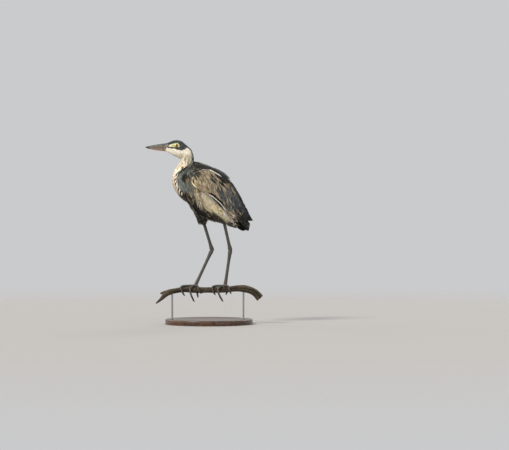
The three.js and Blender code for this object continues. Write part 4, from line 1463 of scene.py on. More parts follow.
def wing_quills(coat, side):
    """The flight feathers of one folded wing, lowest first."""
    for root, last_root, tip, last_tip, number, width, low, high, near, far, fringe in QUILLS:
        sag = coat.rng.uniform(-2, 2, number) - 3
        path, ups = quill_paths(side, fan(root, last_root, number), fan(tip, last_tip, number), sag)
        shade = brightness(coat, number, 0.12)
        lift = np.linspace(0, 0.9, number)
        coat.grow(path, ups, width, pick(near) * shade, "quill", (low + lift, high + lift), 0.7, 0.1,
                  fringe, 0.02, SECTION_MANY, pick(far) * shade)


# Coverts, small at the wing's front edge and large at its rear: [a, spacing, length, width].
COVERTS = np.array([
    [-10, 3.9, 24, 6.6], [40, 5.2, 38, 8.8], [110, 6.6, 54, 11], [200, 8.0, 64, 13.5], [300, 9.6, 62, 16.5],
])
COVERT_GRID = (110, 34)  # points along and across the face that the coverts are spread on


def wing_face(side):
    """The folded wing's outer face as a patch."""
    a = np.linspace(-12, 300, COVERT_GRID[0])[:, None]
    top, base = along(WING_UPPER, a), along(WING_LOWER, a)
    h = base + (top - base) * np.linspace(0, 1, COVERT_GRID[1])
    quads = tube(*COVERT_GRID).reshape(-1, COVERT_GRID[1], 4)[:, :-1].reshape(-1, 4)
    places, _ = on_wing(side, a + 0 * h, h)
    return Patch(places.reshape(-1, 3), np.concatenate([quads[:, [0, 3, 2]], quads[:, [0, 2, 1]]]))


def wing_coverts(coat, side):
    """Rows of coverts over the quills, with the black lines along the wing's upper edge, a black line along
    its lower edge that is painted shadow, and the white line under it.
    """
    patch, rng = wing_face(side), coat.rng
    spacing = along(COVERTS, in_body(patch.centres)[:, 1], 1) * thinned()
    picked, _ = scatter(np.ones(len(patch.areas)), spacing, patch, rng)
    _, a, h = in_body(picked).T
    lengths = along(COVERTS, a, 2) * rng.uniform(0.85, 1.15, len(a))
    widths = along(COVERTS, a, 3) * rng.uniform(0.88, 1.12, len(a))
    slant = wing_way(a, h)
    a, h = a - np.cos(slant) * lengths * OVERLAP, h + np.sin(slant) * lengths * OVERLAP
    a, h, lengths, widths = (values[a > -16] for values in (a, h, lengths, widths))
    number = len(a)
    path, ups = wing_paths(side, a, h, lengths, rng.normal(size=number) * 0.035)
    shown = path[:, SHOWN]
    tints = markings(shown, np.full(number, WING), rng.uniform(size=number)) * brightness(coat, number, 0.18)
    fringe = rng.uniform(0.1, 0.5, number) * (1 - step(in_body(shown)[:, 1], 262, 290))
    coat.grow(path, ups, widths, tints, "lance", (-1.3, 1.3), 0.5, 0.1, fringe, 0.07, SECTION_MANY)
    # Painted shadow: a black row along the wing's lower edge.
    edge_plumes(coat, side, np.linspace(84, 150, 12), WING_LOWER, 4.2, 9.5, "quill")
    edge_plumes(coat, side, np.linspace(84, 176, 16), WING_LOWER, -2.4, 3.8, "rim")
    for begin, inset in ((210, -15), (150, -8), (122, -2)):
        edge_plumes(coat, side, np.linspace(begin, 318, 24), WING_UPPER, inset, 8.0, "quill")


EDGE_PLUME = 34.0  # length of the feathers along the wing's edges


def edge_plumes(coat, side, start, edge, inset, width, name, rise=(0.8, 2.2)):
    """A row of narrow feathers of one tone that follow an edge of the folded wing."""
    a = start[:, None] + np.linspace(0, EDGE_PLUME, 6)
    path, ups = on_wing(side, a, along(edge, a) + inset)
    coat.grow(path, ups, width, pick(name), "plume", rise, 0.6, 0.1, 0.0, 0.05, SECTION_MANY)


# The white line along the scapulars, as [a, h].
RIM_LINE = np.array([[12, 57], [40, 71], [52, 76], [90, 78], [120, 75]])
# Rows of scapulars: [a, lowest h, highest h, length, width, number, lift of the tips].
SCAPULARS = (
    (14, 62, 94, 60, 12, 26, 1.8), (26, 56, 88, 75, 13, 30, 1.8), (60, 62, 96, 85, 14, 26, 2.4),
    (104, 70, 98, 76, 14, 20, 1.2), (68, 86, 108, 84, 19, 26, 15.0),
)


def scapulars(coat, side):
    """Long narrow feathers from the shoulder over the wing's upper edge, and the pale ones along it."""
    rng = coat.rng
    for a, low, high, long, width, number, lift in SCAPULARS:
        h = np.linspace(low, high, number) + rng.normal(size=number) * 1.5
        x = side * along(WING_ROUND, a, 3) * np.linspace(1, 0.25, number) * 0.9
        start = on_body(np.column_stack([x, a + rng.normal(size=number) * 5, h]))
        lengths = long * rng.uniform(0.9, 1.06, number)
        path, ups = draped(start, lengths, 7, rng.normal(size=number) * 0.05 - 0.1 * side, stiff=0.4)
        luck = rng.uniform(size=(number, 1))
        tints = np.where(luck > 0.93, pick("slate"), np.where(luck < 0.4, pick("quill"), pick("mantle")))
        tints = tints * brightness(coat, number, 0.14)
        coat.grow(path, ups, width, tints, "lance", (-1.0, lift), 0.7, 0.12, 0.12, 0.06, SECTION_MANY)
    edge_plumes(coat, side, np.linspace(12, 34, 5), RIM_LINE, 0.0, 5.0, "slate")
    edge_plumes(coat, side, np.linspace(44, 84, 11), RIM_LINE, 0.0, 5.5, "rim", (3.5, 6.5))


# Loose plumes over the wing's edges. Each row: start and end of the line of roots [a, h], how far
# off it they stand, their way [a, h], number, lengths, widths, lift of the tips, each tone's share.
LOOSE = {
    "breast": ((1, 12), (44, -46), 6, (0.72, -0.69), 120, (46, 92), (3, 5), 3.2,
               {"plume": 0.46, "flank": 0.26, "rim": 0.06, "covert_dark": 0.22}),
    "vent": ((196, -46), (232, -50), 7, (0.97, 0.12), 50, (20, 32), (4.5, 7.5), 5.0,
             {"vent": 0.5, "rim": 0.25, "flank": 0.25}),
    # The hollow's plumes are black: partly the bend's own dark patch, partly painted shade of the crease
    # between neck and shoulder.
    "hollow": ((-44, -15), (-23, 11), 3.5, (0.55, -0.83), 64, (12, 17), (5, 8), 1.8, {"quill": 1.0}),
    "bend": ((-31, -5), (-11, 1), 2.5, (0.62, -0.78), 30, (12, 17), (4, 6), 3.0,
             {"fleck": 0.45, "covert": 0.3, "covert_dark": 0.25}),
    "bend_edge": ((-9, 8), (1, -22), 1.5, (0.45, -0.89), 24, (18, 26), (4, 6), 3.4, {"quill": 1.0}),
}


LOOSE_PLACES = {"coat_breast": ("hollow", "bend", "bend_edge", "breast"), "coat_flank": ("vent",)}


def loose_plumes(coat, side, place):
    """Loose plumes from one place, hanging back over the wing's edge."""
    rng = coat.rng
    start, end, spread, (back, up), number, lengths, widths, lift, shares = LOOSE[place]
    share = rng.uniform(size=(number, 1))
    root = np.array(start) * (1 - share) + np.array(end) * share + rng.normal(size=(number, 2)) * spread
    way = back * BACKWARD + up * UPWARD

    def hang(_, normals):
        return unit(way - (normals @ way)[:, None] * normals), None

    roots = on_body(np.column_stack([np.full(number, 54.0 * side), root]))
    path, ups = draped(roots, rng.uniform(*lengths, number), 8, rng.normal(size=number) * 0.1, hang, 0.3)
    names = rng.choice(list(shares), number, p=list(shares.values()))
    tints = np.array([pick(name) for name in names]) * brightness(coat, number, 0.12)
    tints = tints * (1 - (place == "breast") * 0.35 * step(root[:, 1], -8, 22))[:, None]
    coat.grow(path, ups, rng.uniform(*widths, number), tints, "plume", (0.2, lift), 0.5, 0.14, 0.2, 0.08)


# Along the foreneck's stripe: a black line at its upper rear edge, and lower down black and white
# feathers by turns, which lean forward over it. Each row: from and to down the neck, the gap, the
# lean in radians, and degrees in from the edge.
STRIPE_PLUMES = ((0.42, 0.56, 0.02, 0.0, 2), (0.56, 0.82, 0.018, 0.6, 7))


def on_neck(near, angle):
    """Places round the neck, by the number of the point of its middle and radians from the front."""
    middle, front, radius = neck_path()
    out = np.cos(angle)[:, None] * front[near] + np.sin(angle)[:, None] * LEFTWARD
    return middle[near] + radius[near, None] * out


def stripe_plumes(coat):
    rng, heights = coat.rng, neck_path()[0][:, 2]
    for side in SIDES.values():
        for begin, end, gap, lean, inset in STRIPE_PLUMES:
            near = (np.arange(begin, end, gap) * (NECK_POINTS - 1)).astype(int)
            number = len(near)
            roots = on_neck(near, side * np.radians(along(STRIPE_EDGE, heights[near], 1) - inset))
            bends = rng.normal(size=number) * 0.08 - lean * side
            path, ups = draped(roots, rng.uniform(18, 24, number), 5, bends, stiff=0.3)
            black = (np.arange(number) % 2 == 0) | (lean == 0)
            tints = np.where(black[:, None], pick("streak"), pick("rim"))
            coat.grow(path, ups, 4.6, tints, "lance", (0.2, 2.2), 0.5, 0.15, 0.0, 0.06)


def neck_plumes(coat):
    """Long plumes that hang from the lower foreneck over the breast."""
    rng, number = coat.rng, 110
    near = (rng.uniform(0.44, 0.7, number) * (NECK_POINTS - 1)).astype(int)
    roots = on_neck(near, rng.normal(size=number) * 0.55)
    lengths = rng.uniform(46, 78, number)
    path, ups = draped(roots, lengths, 7, rng.normal(size=number) * 0.05, stiff=0.55)
    tints = markings(path[:, SHOWN], kinds_at(path[:, SHOWN]), rng.uniform(size=number))
    coat.grow(path, ups, rng.uniform(4.5, 6.5, number), tints, "plume", (-1.2, 1.2), 0.5, 0.15, 0.25, 0.08)


HEMS = {"left": 444.0, "right": 434.0}  # heights at which the feathers hanging from the thighs end


def trousers(coat):
    """Loose feathers that hang from each thigh to one hem, over the top of the bare leg."""
    surface, rng = lying_surface(), coat.rng
    x, _, height = surface.points.T
    for name, side in SIDES.items():
        band = np.nonzero((form()[1] == THIGH) & (height > 456) & (height < 484) & (x * side > 0))[0]
        chosen = rng.choice(band, 110, replace=False)
        start, out = surface.points[chosen], surface.normals[chosen]
        drop = start[:, 2] - HEMS[name] + rng.normal(size=len(chosen)) * 2.5
        way = out * [-0.3, -0.45, 0] - ZENITH
        path = start[:, None] + (way * drop[:, None])[:, None] * np.linspace(0, 1, 6)[:, None]
        ups = np.repeat(unit(out * [1, 1, 0.1])[:, None], 6, 1)
        tints = markings(path[:, SHOWN], np.full(len(chosen), THIGH), rng.uniform(size=len(chosen)))
        widths = rng.uniform(5, 7.5, len(chosen))
        coat.grow(path, ups, widths, tints, "plume", (-3.0, -1.0), 0.5, 0.14, 0.1, 0.08)


TAIL_PAIRS = 6


def tail_feathers(coat):
    """Pairs of tail feathers laid on the closed tail's roof, outer pairs lowest, and lining it below."""
    for pair in range(TAIL_PAIRS, 0, -1):
        for side in (-1, 1):
            a = np.linspace(236, 366 - 1.2 * pair, 9)
            ridge, wide, thick = (along(TAIL_ROWS, a, column) for column in (1, 2, 3))
            share = (pair - 0.5) / TAIL_PAIRS
            x = wide * share * 0.95
            h = ridge - TAIL_DROP * x + thick * math.sqrt(1 - share**2 * 0.9) - 0.25 * pair + 0.6
            ups = np.tile(unit(UPWARD + LEFTWARD * side * TAIL_DROP), (1, len(a), 1))
            tint = pick("quill") * brightness(coat, 1, 0.12)
            path = on_body(np.column_stack([side * x, a, h]))[None]
            coat.grow(path, ups, 15, tint, "quill", (0, 0.2), 0.7, 0.1, 0.1, 0.02, SECTION_MANY)
            path = on_body(np.column_stack([side * x * 0.92, a, h - 1.6 * thick - 0.4]))[None]
            coat.grow(path, -ups, 14, tint * 1.3, "quill", (0, 0.1), 0.6, 0.1, 0.05, 0.02, SECTION_MANY)


# ---- Bill, eyes and claws ----


def mandible(name, rows, upper):
    """One horn sheath as rings from the bill's base to its tip."""
    rings, arc, flat = 110, 26, 8
    s, edge, half = (column[:, None] for column in smooth_rows(rows, np.linspace(0, 1, rings)).T)
    sign = 1 if upper else -1
    mouth = MOUTH_LINE + sign * MOUTH_GAP
    angle = np.linspace(0, math.pi, arc)
    wide = np.append(np.cos(angle), np.linspace(-1, 1, flat + 2)[1:-1])
    high = np.append(np.sin(angle) ** (0.92 if upper else 0.85), np.zeros(flat))
    wide = wide * (1 - 0.1 * high)
    side = np.abs(wide) * (high > 0.03)
    slit = bell(s, 99, 7) * bell(high, 0.52, 0.12) * (side > 0.5) * upper
    groove = step(s, 96, 104) * (1 - step(s, 140, 160)) * bell(high, 0.55, 0.13) * (side > 0.4) * upper
    x = np.maximum(half, 0.45) * wide * (1 - 0.3 * slit - 0.08 * groove)
    h = mouth + sign * (high * np.maximum((edge - mouth) * sign, 0.35))
    points = on_head(stacked(x, s, h)).reshape(-1, 3)
    k = arc + flat
    fans = np.array([[0, i, i + 1] for i in range(1, k - 1)])
    quads, caps = tube(rings, k), np.concatenate([fans[:, [0, 2, 1]], (rings - 1) * k + fans])
    made = make_mesh(name, points, quads[:, ::-sign], caps[:, ::-sign])
    level, at, slit = (values.ravel() for values in np.broadcast_arrays(high, s, slit))
    blotch = wobble(points, 7, 41)
    if upper:
        body = pick("horn") * (1 - 0.5 * step(level, 0.72, 1.0))[:, None]
        body = over(body, "horn_flesh", 0.55 * step(blotch, 0.1, 0.9) * (1 - step(level, 0.6, 0.8)))
        body = over(body, "horn_flesh", 0.5 * (1 - step(level, 0.1, 0.35)))
        # The nostril's slit is darkened as painted shade in it; the dark blotches are the horn's own.
        body = body * ((1 - 0.85 * slit) * (1 - 0.4 * step(-blotch, 0.3, 1.0)))[:, None]
    else:
        body = over("horn_flesh", "horn_pale", step(level + 0.1 * blotch, 0.62, 0.9))
        body = over(body, "horn", 0.6 * step(-blotch, 0.0, 0.8) * (1 - step(level, 0.5, 0.75)))
        # Darker towards the mouth line and over the hidden flat top: painted shade where the mandibles meet.
        body = body * (0.6 + 0.4 * step(level, 0.0, 0.35))[:, None]
    dark = 162 if upper else 160
    add_attribute(made, "tint", over(body, "horn_tip", step(at + 3 * blotch, dark, dark + 10)))
    add_attribute(made, "vane", np.column_stack([np.tile(np.arange(k), rings) * 1.2, at, 0 * at]))
    return made


def eyeball(name, side):
    """A ball with its iris turned outward and a low bulge of cornea over it."""
    rings, around = 39, 48
    turn = np.linspace(0, math.pi, rings + 2)[1:-1]
    out = np.concatenate([[0], np.repeat(turn, around), [math.pi]])
    spin = np.tile(np.linspace(0, 2 * math.pi, around, endpoint=False), rings)
    spin = np.concatenate([[0], spin, [0]])
    radius = EYE_RADIUS + 0.35 * bell(out, 0, 0.45)
    round_eye = np.stack([np.cos(out) * side, np.sin(out) * np.cos(spin), np.sin(out) * np.sin(spin)], 1)
    points = on_head(round_eye * radius[:, None] + EYE_CENTRE * [side, 1, 1])
    first = 1 + np.arange(around)
    quads = tube(rings, around, 1)[:, TURNED_OVER]
    rear = cap(len(points) - 1, first + (rings - 1) * around)[:, [0, 2, 1]]
    triangles = np.concatenate([cap(0, first), rear])
    made = make_mesh(name, points, quads[:, ::side], triangles[:, ::side])
    away = np.sin(np.minimum(out, math.pi / 2)) * EYE_RADIUS
    rayed = pick("iris") * (0.8 + 0.3 * step(away, PUPIL, 3.8) + 0.07 * np.sin(spin * 24))[:, None]
    tint = rayed * step(away, PUPIL - 0.1, PUPIL + 0.1)[:, None] + 0.003
    add_attribute(made, "tint", tint * (1 - 0.95 * step(away, *IRIS_EDGE))[:, None])
    return made


# ---- Perch and stand ----

# The branch's middle in its own frame, with its radius: [along, off, height, radius].
PERCH_ROWS = np.array([
    [222, -12, 112, 17], [202, -10, 134, 16.6], [176, -7, 148, 16], [146, -4, 154.5, 15],
    [112, -1, 154, 13.8], [72, 0, 149, 13], [0, 0, 148, 13], [-66, 0, 148, 13], [-110, -1, 150, 12.4],
    [-146, 2, 145, 12], [-176, 4, 138, 12.6], [-193, 6, 124, 11], [-207, 8, 109, 7.5], [-220, 9, 98, 5],
    [-231, 9, 90, 2.6],
])
PERCH_RADIUS = 13  # the branch's usual radius
# Knots of the branch: how far along it, degrees round it, size and height.
KNOTS = (
    (62, 200, 9, 2.2), (128, 40, 10, 2.6), (205, 300, 8, 2.0), (300, 120, 9, 2.4), (372, 20, 8, 2.2),
    (410, 250, 9, 2.0),
)


def round_perch(points):
    """Millimetres along the branch, the way out from its middle across it, its own way, and its length."""
    line = from_frame(np.zeros(3), PERCH_AXES, smooth_rows(PERCH_ROWS, np.linspace(0, 1, 300))[:, :3])
    way = unit(np.gradient(line, axis=0))
    run = np.append(0, np.cumsum(np.linalg.norm(np.diff(line, axis=0), axis=1)))
    near = nearest_row(points, line)
    off, way = points - line[near], way[near]
    across = unit(np.cross(way, ZENITH))
    flat = np.stack([(off * across).sum(1), (off * np.cross(across, way)).sum(1)], 1)
    return run[near] + (off * way).sum(1), unit(flat), way, run[-1]


def build_perch():
    """The branch with its drying grooves, lumps, knots and worn end; smooth where the feet hold it."""
    made = remeshed(joined_nodes("perch_wood", ["perch"]), PERCH_VOXEL)
    points = relaxed(points_of(made), edges_of(made), 7, 0.6, UNSHRINK)
    set_points(made, points)
    normals = Surface(made, 3).normals
    at, ring, way, whole = round_perch(points)
    fibre = np.column_stack([ring * PERCH_RADIUS, at * 0.07])
    deep = step(wobble(fibre, 6.5, 31), 0.25, 0.95) + 0.5 * step(wobble(fibre, 3.0, 32), 0.35, 1.0)
    lumps = 0.5 * wobble(np.column_stack([ring * PERCH_RADIUS, at * 0.5]), 16, 33)
    worn = step(at, whole - 60, whole) * 0.6 * np.abs(wobble(fibre, 2.5, 34))
    move = pick("relief") / MM * (0.15 - 0.85 * deep + lumps) - worn
    degrees = np.degrees(np.arctan2(ring[:, 1], ring[:, 0])) % 360
    for place, angle, size, height in KNOTS:
        gap = np.hypot(at - place, np.radians((degrees - angle + 180) % 360 - 180) * PERCH_RADIUS)
        move += height * (bell(gap, 0, size) - 1.1 * bell(gap, 0, size * 0.45))
        deep = np.maximum(deep, 1.2 * bell(gap, 0, size * 0.4))
    held = np.abs(in_perch(points)[:, 0] - 7) < 135
    move = np.where(held, np.minimum(move, 0.15), move)
    sawn = (at < 1.5) & (np.abs((normals * way).sum(1)) > 0.75)
    move = np.where(sawn, 0, move)
    set_points(made, points + normals * move[:, None])
    add_attribute(made, "grain", np.column_stack([ring * PERCH_RADIUS, at]))
    add_attribute(made, "hollow", np.clip(deep, 0, 1.3))
    finish_piece(made, wood_material("Weathered dead branch"), ["perch"])


def lathe(name, outlines, segments):
    """Turned forms: each an outline of [radius, height] round a centre [x, y], closed on itself."""
    points, quads, start = [], [], 0
    turn = np.linspace(0, 2 * math.pi, segments, endpoint=False)
    for (x, y), outline in outlines:
        radius, height = np.array(outline, float)[:, :, None].transpose(1, 0, 2)
        points.append(stacked(x + radius * np.cos(turn), y + radius * np.sin(turn), height).reshape(-1, 3))
        quads.append(tube(len(outline), segments, start, closed=True))
        start += len(points[-1])
    made = make_mesh(name, np.concatenate(points), np.concatenate(quads))
    with editing(made) as shape:
        bmesh.ops.remove_doubles(shape, verts=shape.verts, dist=1e-6)
        bmesh.ops.dissolve_degenerate(shape, dist=1e-7, edges=shape.edges)
        bmesh.ops.recalc_face_normals(shape, faces=shape.faces)
    return made


def rounded(radius, height, corner):
    """An arc of a turned edge, from its top inward side round to its outer side."""
    turns = np.linspace(math.pi / 2, 0, 9)
    return [[radius - corner + corner * math.cos(t), height - corner + corner * math.sin(t)] for t in turns]


def turned_box(node):
    """A turned node's middle, radius, foot and top, in mm."""
    low, high = (np.array(corner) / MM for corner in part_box(node))
    return ((low + high) / 2)[:2], (high - low)[0] / 2, low[2], high[2]


ON_AXIS = 0.01  # a turned form's smallest radius, which is then closed


def build_stand():
    """The base with its rounded rim, a bead near its foot and a plain sunk top, and the rods and collars."""
    middle, radius, _, top = turned_box("stand_base")
    outline = [[ON_AXIS, top - 0.6], [radius - 26, top - 0.6], [radius - 25, top - 0.2], [radius - 23.5, top]]
    outline += rounded(radius - 0.1, top, 5)
    outline += [[radius - 0.1, 8.5], [radius - 1.2, 7.6], [radius - 1.2, 6.8], [radius - 0.1, 6]]
    outline += [[radius - 0.1, 2.0], [radius - 0.6, 0.6], [radius - 2, 0], [ON_AXIS, 0]]
    base = lathe("stand_base_turned", [(middle, outline)], 180)
    finish_piece(base, walnut_material("Turned oiled walnut"), ["stand_base"], 35)
    rods, collars = [], []
    for number in (1, 2):
        middle, radius, foot, top = turned_box(f"stand_rod_{number}")
        end = [[ON_AXIS, top], [radius - 0.5, top], [radius, top - 0.5]]
        rods.append((middle, [*end, [radius, foot], [ON_AXIS, foot]]))
        middle, outer, foot, top = turned_box(f"stand_collar_{number}")
        profile = [[radius + 0.05, top], [outer * 0.8 - 0.6, top], [outer * 0.8, top - 0.5]]
        profile += [[outer - 0.5, foot + 1.3], [outer, foot + 0.9], [outer, foot], [radius + 0.05, foot]]
        collars.append((middle, profile))
    for name, outlines in (("rods_drawn", rods), ("collars_turned", collars)):
        replaced = [f"stand_{name.split('s_')[0]}_{number}" for number in (1, 2)]
        turned = lathe(f"stand_{name}", outlines, 48)
        finish_piece(turned, steel_material("Brushed stainless steel"), replaced, 40)


# ---- Stage ----

AIM = np.array([99.0, 171.4, 430.6])  # where the camera looks
CAMERA_AZIMUTH = math.radians(60)
SENSOR_WIDTH = 36.0
AIR_STRENGTH = 0.8
FLOOR_DROP = 0.2  # mm from the base's foot down to the floor
FADE_BEGINS, FADE_ENDS = 1.4, 5.2  # metres from the middle of the floor
LIGHTS = (  # name, azimuth, elevation and width in degrees, strength, colour
    ("key", 14, 40, 14, 2.95, "#fff6ea"),
    ("fill", 100, 20, 40, 0.3, "#eef3ff"),
    ("back", 215, 40, 25, 0.75, "#fff8ee"),
    ("far_side", 300, 28, 35, 0.5, "#f6f8ff"),
)


def build_floor(segments=96):
    """A wide disc just under the base."""
    turn = np.linspace(0, 2 * math.pi, segments, endpoint=False)
    radii = np.linspace(0.05, FADE_ENDS + 0.1, 12)[:, None] / MM
    points = stacked(radii * np.cos(turn), radii * np.sin(turn), -FLOOR_DROP).reshape(-1, 3)
    hub = cap(len(points), np.arange(segments))
    quads = tube(len(radii), segments)[:, TURNED_OVER]
    floor = make_mesh("floor", np.append(points, [[0, 0, -FLOOR_DROP]], 0), quads, hub)
    floor.data.materials.append(floor_material("Matt seamless paper"))


def build_stage():
    build_floor()
    scene = bpy.context.scene
    stage = scene.heron_stage
    camera = linked("camera", bpy.data.cameras.new("camera"))
    out = Vector((math.sin(CAMERA_AZIMUTH), -math.cos(CAMERA_AZIMUTH), 0))
    camera.location = Vector(AIM * MM) + out * stage.distance
    camera.rotation_euler = (-out).to_track_quat("-Z", "Y").to_euler()
    camera.data.sensor_width = SENSOR_WIDTH
    camera.data.lens = SENSOR_WIDTH * stage.distance / stage.view_width
    camera.data.clip_start, camera.data.clip_end = 0.1, 60
    scene.camera = camera
    for name, azimuth, elevation, width, strength, tone in LIGHTS:
        light = linked(name, bpy.data.lights.new(name, "SUN"))
        light.data.angle, light.data.energy, light.data.color = math.radians(width), strength, linear(tone)
        light.rotation_euler = (math.radians(90 - elevation), 0, math.radians(azimuth))
    scene.world = bpy.data.worlds.new("Pale air")
    scene.world.use_nodes = True
    background = scene.world.node_tree.nodes["Background"].inputs
    background["Color"].default_value = (*stage.air, 1)
    background["Strength"].default_value = AIR_STRENGTH
    scene.view_settings.view_transform = "Standard"


# ---- Operators ----

NECK_SPLIT = 690.0  # height at which the neck's two coat pieces meet
BACK_FROM, EDGE_FROM = 40.0, 10.0  # lowest h of the back's coat, on the trunk and on the wing's edge
BREAST_TO = 70.0  # a at which the breast's coat gives way to the flank's
FLIGHT_FINISH = ("Stiff flight feathers", 0.8, "#5a5348", 0.6, 0.0)


class HeronOperator:
    """What all the heron's operators share."""

    bl_options = {"REGISTER", "UNDO"}


class HERON_OT_skin(HeronOperator, bpy.types.Operator):
    """Makes one skin over all the flesh, with its lids, bare face and scaly legs"""

    bl_idname = "heron.skin"
    bl_label = "Skin"

    def execute(self, context):
        build_skin()
        return {"FINISHED"}


class HERON_OT_head_coat(HeronOperator, bpy.types.Operator):
    """Covers the head in its smallest feathers"""

    bl_idname = "heron.head_coat"
    bl_label = "Head feathers"

    def execute(self, context):
        coat = Coat("coat_head", np.random.default_rng(11))
        centres = lying_surface().centres
        where = over_kind(HEAD) * (bare_face(centres, 0.3) < 0.4) * (bill_base(centres) < 0.3)
        contour_feathers(coat, where, dense=1.2, outline="hair", tip=0.25, thick=0.3, droop=0.2, varied=0.1)
        coat.finish(feather_material("Short dense head feathers", 0.9, "#cbc8bc", 0.85, 0.1), "cap")
        return {"FINISHED"}


class HERON_OT_neck_coat(HeronOperator, bpy.types.Operator):
    """Covers the neck, and hangs the long plumes on its front"""

    bl_idname = "heron.neck_coat"
    bl_label = "Neck feathers"

    def execute(self, context):
        rng = np.random.default_rng(12)
        finish = feather_material("Loose lanceolate neck feathers", 0.7, "#d9d3c0", 0.85, 0.1)
        upper = lying_surface().centres[:, 2] >= NECK_SPLIT
        for name, part in (("coat_neck_upper", upper), ("coat_neck_lower", ~upper)):
            coat = Coat(name, rng)
            where = over_kind(NECK) * part
            contour_feathers(coat, where, dense=1.1, outline="plume", longer=1.2, wild=0.12, thick=0.4)
            if name == "coat_neck_lower":
                neck_plumes(coat)
                stripe_plumes(coat)
            coat.finish(finish, "plumage")
        return {"FINISHED"}


class HERON_OT_body_coat(HeronOperator, bpy.types.Operator):
    """Covers the trunk and thighs in contour feathers"""

    bl_idname = "heron.body_coat"
    bl_label = "Body feathers"

    def execute(self, context):
        rng, surface = np.random.default_rng(13), lying_surface()
        soft = feather_material("Soft contour feathers", 0.6, "#ddd3b8", 0.88, 0.1)
        firm = feather_material("Firm mantle feathers", 0.55, "#5f574c", 0.8, 0.0)
        trunk, wing, thigh = (over_kind(kind) for kind in (TRUNK, WING, THIGH))
        x, a, h = in_body(surface.centres).T
        edge = wing * (np.abs(surface.normals[surface.triangles].mean(1)[:, 0]) < 0.75)
        back, breast, upper_edge = h > BACK_FROM, a < BREAST_TO, edge * (h > EDGE_FROM)
        flank = trunk * ~back * ~breast + edge * (h <= EDGE_FROM)
        keel = trunk * (np.abs(x) < 26) * (h < -60) * (a > BREAST_TO) * (a < 190)
        for name, where, finish, slot, dense, longer, varied in (
            ("coat_back", trunk * back + upper_edge, firm, "mantle", 1.0, 1.0, 0.16),
            ("coat_breast", trunk * ~back * breast, soft, "plumage", 1.25, 1.15, 0.14),
            ("coat_flank", flank, soft, "plumage", 1.2, 1.1, 0.07),
            ("coat_thighs", thigh, soft, "plumage", 1.2, 1.0, 0.1),
        ):
            coat = Coat(name, rng)
            contour_feathers(coat, where, dense, "contour", longer, 0.6, 0.08, 0.25, varied=varied)
            for side in SIDES.values():
                if name == "coat_back":
                    scapulars(coat, side)
                for place in LOOSE_PLACES.get(name, ()):
                    loose_plumes(coat, side, place)
            if name == "coat_flank":
                # The keel between the legs, under the body, where the feathers hang loose.
                contour_feathers(coat, keel, longer=1.1, tip=6.5, wild=0.08, varied=varied)
            if name == "coat_thighs":
                trousers(coat)
            coat.finish(finish, slot)
        return {"FINISHED"}


class HERON_OT_wing_coat(HeronOperator, bpy.types.Operator):
    """Lays each folded wing's quills and its coverts over them"""

    bl_idname = "heron.wing_coat"
    bl_label = "Wing feathers"

    def execute(self, context):
        rng = np.random.default_rng(14)
        vane = feather_material("Firm vaned wing coverts", 0.5, "#c4b497", 0.78, 0.05)
        quill = feather_material(*FLIGHT_FINISH)
        for name, side in SIDES.items():
            quills = Coat(f"quills_wing_{name}", rng)
            wing_quills(quills, side)
            quills.finish(quill, "quill")
            coverts = Coat(f"coverts_wing_{name}", rng)
            wing_coverts(coverts, side)
            coverts.finish(vane, "mantle")
        return {"FINISHED"}


class HERON_OT_tail_coat(HeronOperator, bpy.types.Operator):
    """Lays the twelve tail feathers on the closed tail"""

    bl_idname = "heron.tail_coat"
    bl_label = "Tail feathers"

    def execute(self, context):
        coat = Coat("quills_tail", np.random.default_rng(15))
        tail_feathers(coat)
        coat.finish(feather_material(*FLIGHT_FINISH), "quill")
        return {"FINISHED"}


class HERON_OT_bill(HeronOperator, bpy.types.Operator):
    """Makes the bill's two horn sheaths, with nostrils"""

    bl_idname = "heron.bill"
    bl_label = "Bill"

    def execute(self, context):
        for name, rows, upper in (("upper", UPPER_BILL, True), ("lower", LOWER_BILL, False)):
            made = mandible(f"bill_{name}_horn", rows, upper)
            finish_piece(made, horn_material("Grown bill horn"), [f"bill_{name}"], 60)
        return {"FINISHED"}


class HERON_OT_eyes(HeronOperator, bpy.types.Operator):
    """Makes the two eyes with their irises"""

    bl_idname = "heron.eyes"
    bl_label = "Eyes"

    def execute(self, context):
        for name, side in SIDES.items():
            made = eyeball(f"eyeball_{name}", side)
            finish_piece(made, eye_material("Wet living eye"), [f"eye_{name}"])
        return {"FINISHED"}


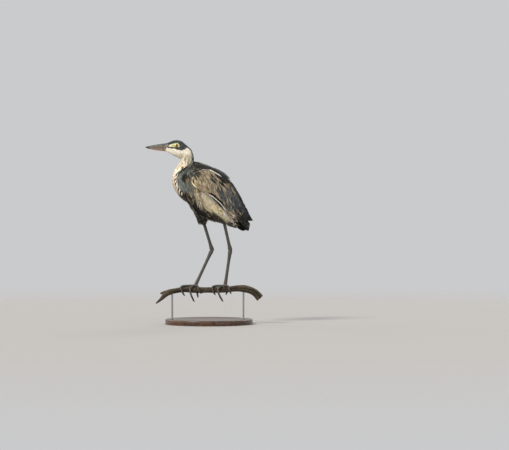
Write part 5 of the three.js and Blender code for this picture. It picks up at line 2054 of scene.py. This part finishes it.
class HERON_OT_claws(HeronOperator, bpy.types.Operator):
    """Makes the eight claws smooth"""

    bl_idname = "heron.claws"
    bl_label = "Claws"

    def execute(self, context):
        names = [f"claw_{side}_{toe}" for side in SIDES for toe in TOES]
        made = remeshed(joined_nodes("claws_horn", names, CLAW_SWELL), CLAW_VOXEL)
        set_points(made, relaxed(points_of(made), edges_of(made), 4, 0.6, UNSHRINK))
        finish_piece(made, claw_material("Grown claw horn"), names)
        return {"FINISHED"}


class HERON_OT_perch(HeronOperator, bpy.types.Operator):
    """Weathers the branch: grooves, knots and a broken end"""

    bl_idname = "heron.perch"
    bl_label = "Perch"

    def execute(self, context):
        build_perch()
        return {"FINISHED"}


class HERON_OT_stand(HeronOperator, bpy.types.Operator):
    """Turns the base, the rods and their collars"""

    bl_idname = "heron.stand"
    bl_label = "Display stand"

    def execute(self, context):
        build_stand()
        return {"FINISHED"}


class HERON_OT_stage(HeronOperator, bpy.types.Operator):
    """Sets the camera, the floor and the lights"""

    bl_idname = "heron.stage"
    bl_label = "Stage"

    def execute(self, context):
        build_stage()
        return {"FINISHED"}


OPERATORS = (
    HERON_OT_stage,
    HERON_OT_skin,
    HERON_OT_eyes,
    HERON_OT_bill,
    HERON_OT_claws,
    HERON_OT_head_coat,
    HERON_OT_neck_coat,
    HERON_OT_body_coat,
    HERON_OT_wing_coat,
    HERON_OT_tail_coat,
    HERON_OT_perch,
    HERON_OT_stand,
)


class HERON_PT_panel(bpy.types.Panel):
    """Lists the heron's settings and operators"""

    bl_idname = "HERON_PT_panel"
    bl_label = "Heron"
    bl_space_type = "VIEW_3D"
    bl_region_type = "UI"
    bl_category = "Heron"

    def draw(self, context):
        for group, kind in SETTINGS.items():
            box = self.layout.box()
            for name in kind.__annotations__:
                box.prop(getattr(context.scene, group), name)
        for operator in OPERATORS:
            self.layout.operator(operator.bl_idname)


CLASSES = (*SETTINGS.values(), *OPERATORS, HERON_PT_panel)


def register():
    for kind in CLASSES:
        bpy.utils.register_class(kind)
    for group, kind in SETTINGS.items():
        setattr(bpy.types.Scene, group, bpy.props.PointerProperty(type=kind))


def unregister():
    for group in SETTINGS:
        delattr(bpy.types.Scene, group)
    for kind in reversed(CLASSES):
        bpy.utils.unregister_class(kind)


def main():
    register()
    for operator in OPERATORS:
        getattr(bpy.ops.heron, operator.bl_idname.split(".")[1])()
    bpy.data.objects.remove(form()[0])


if __name__ == "__main__":
    main()
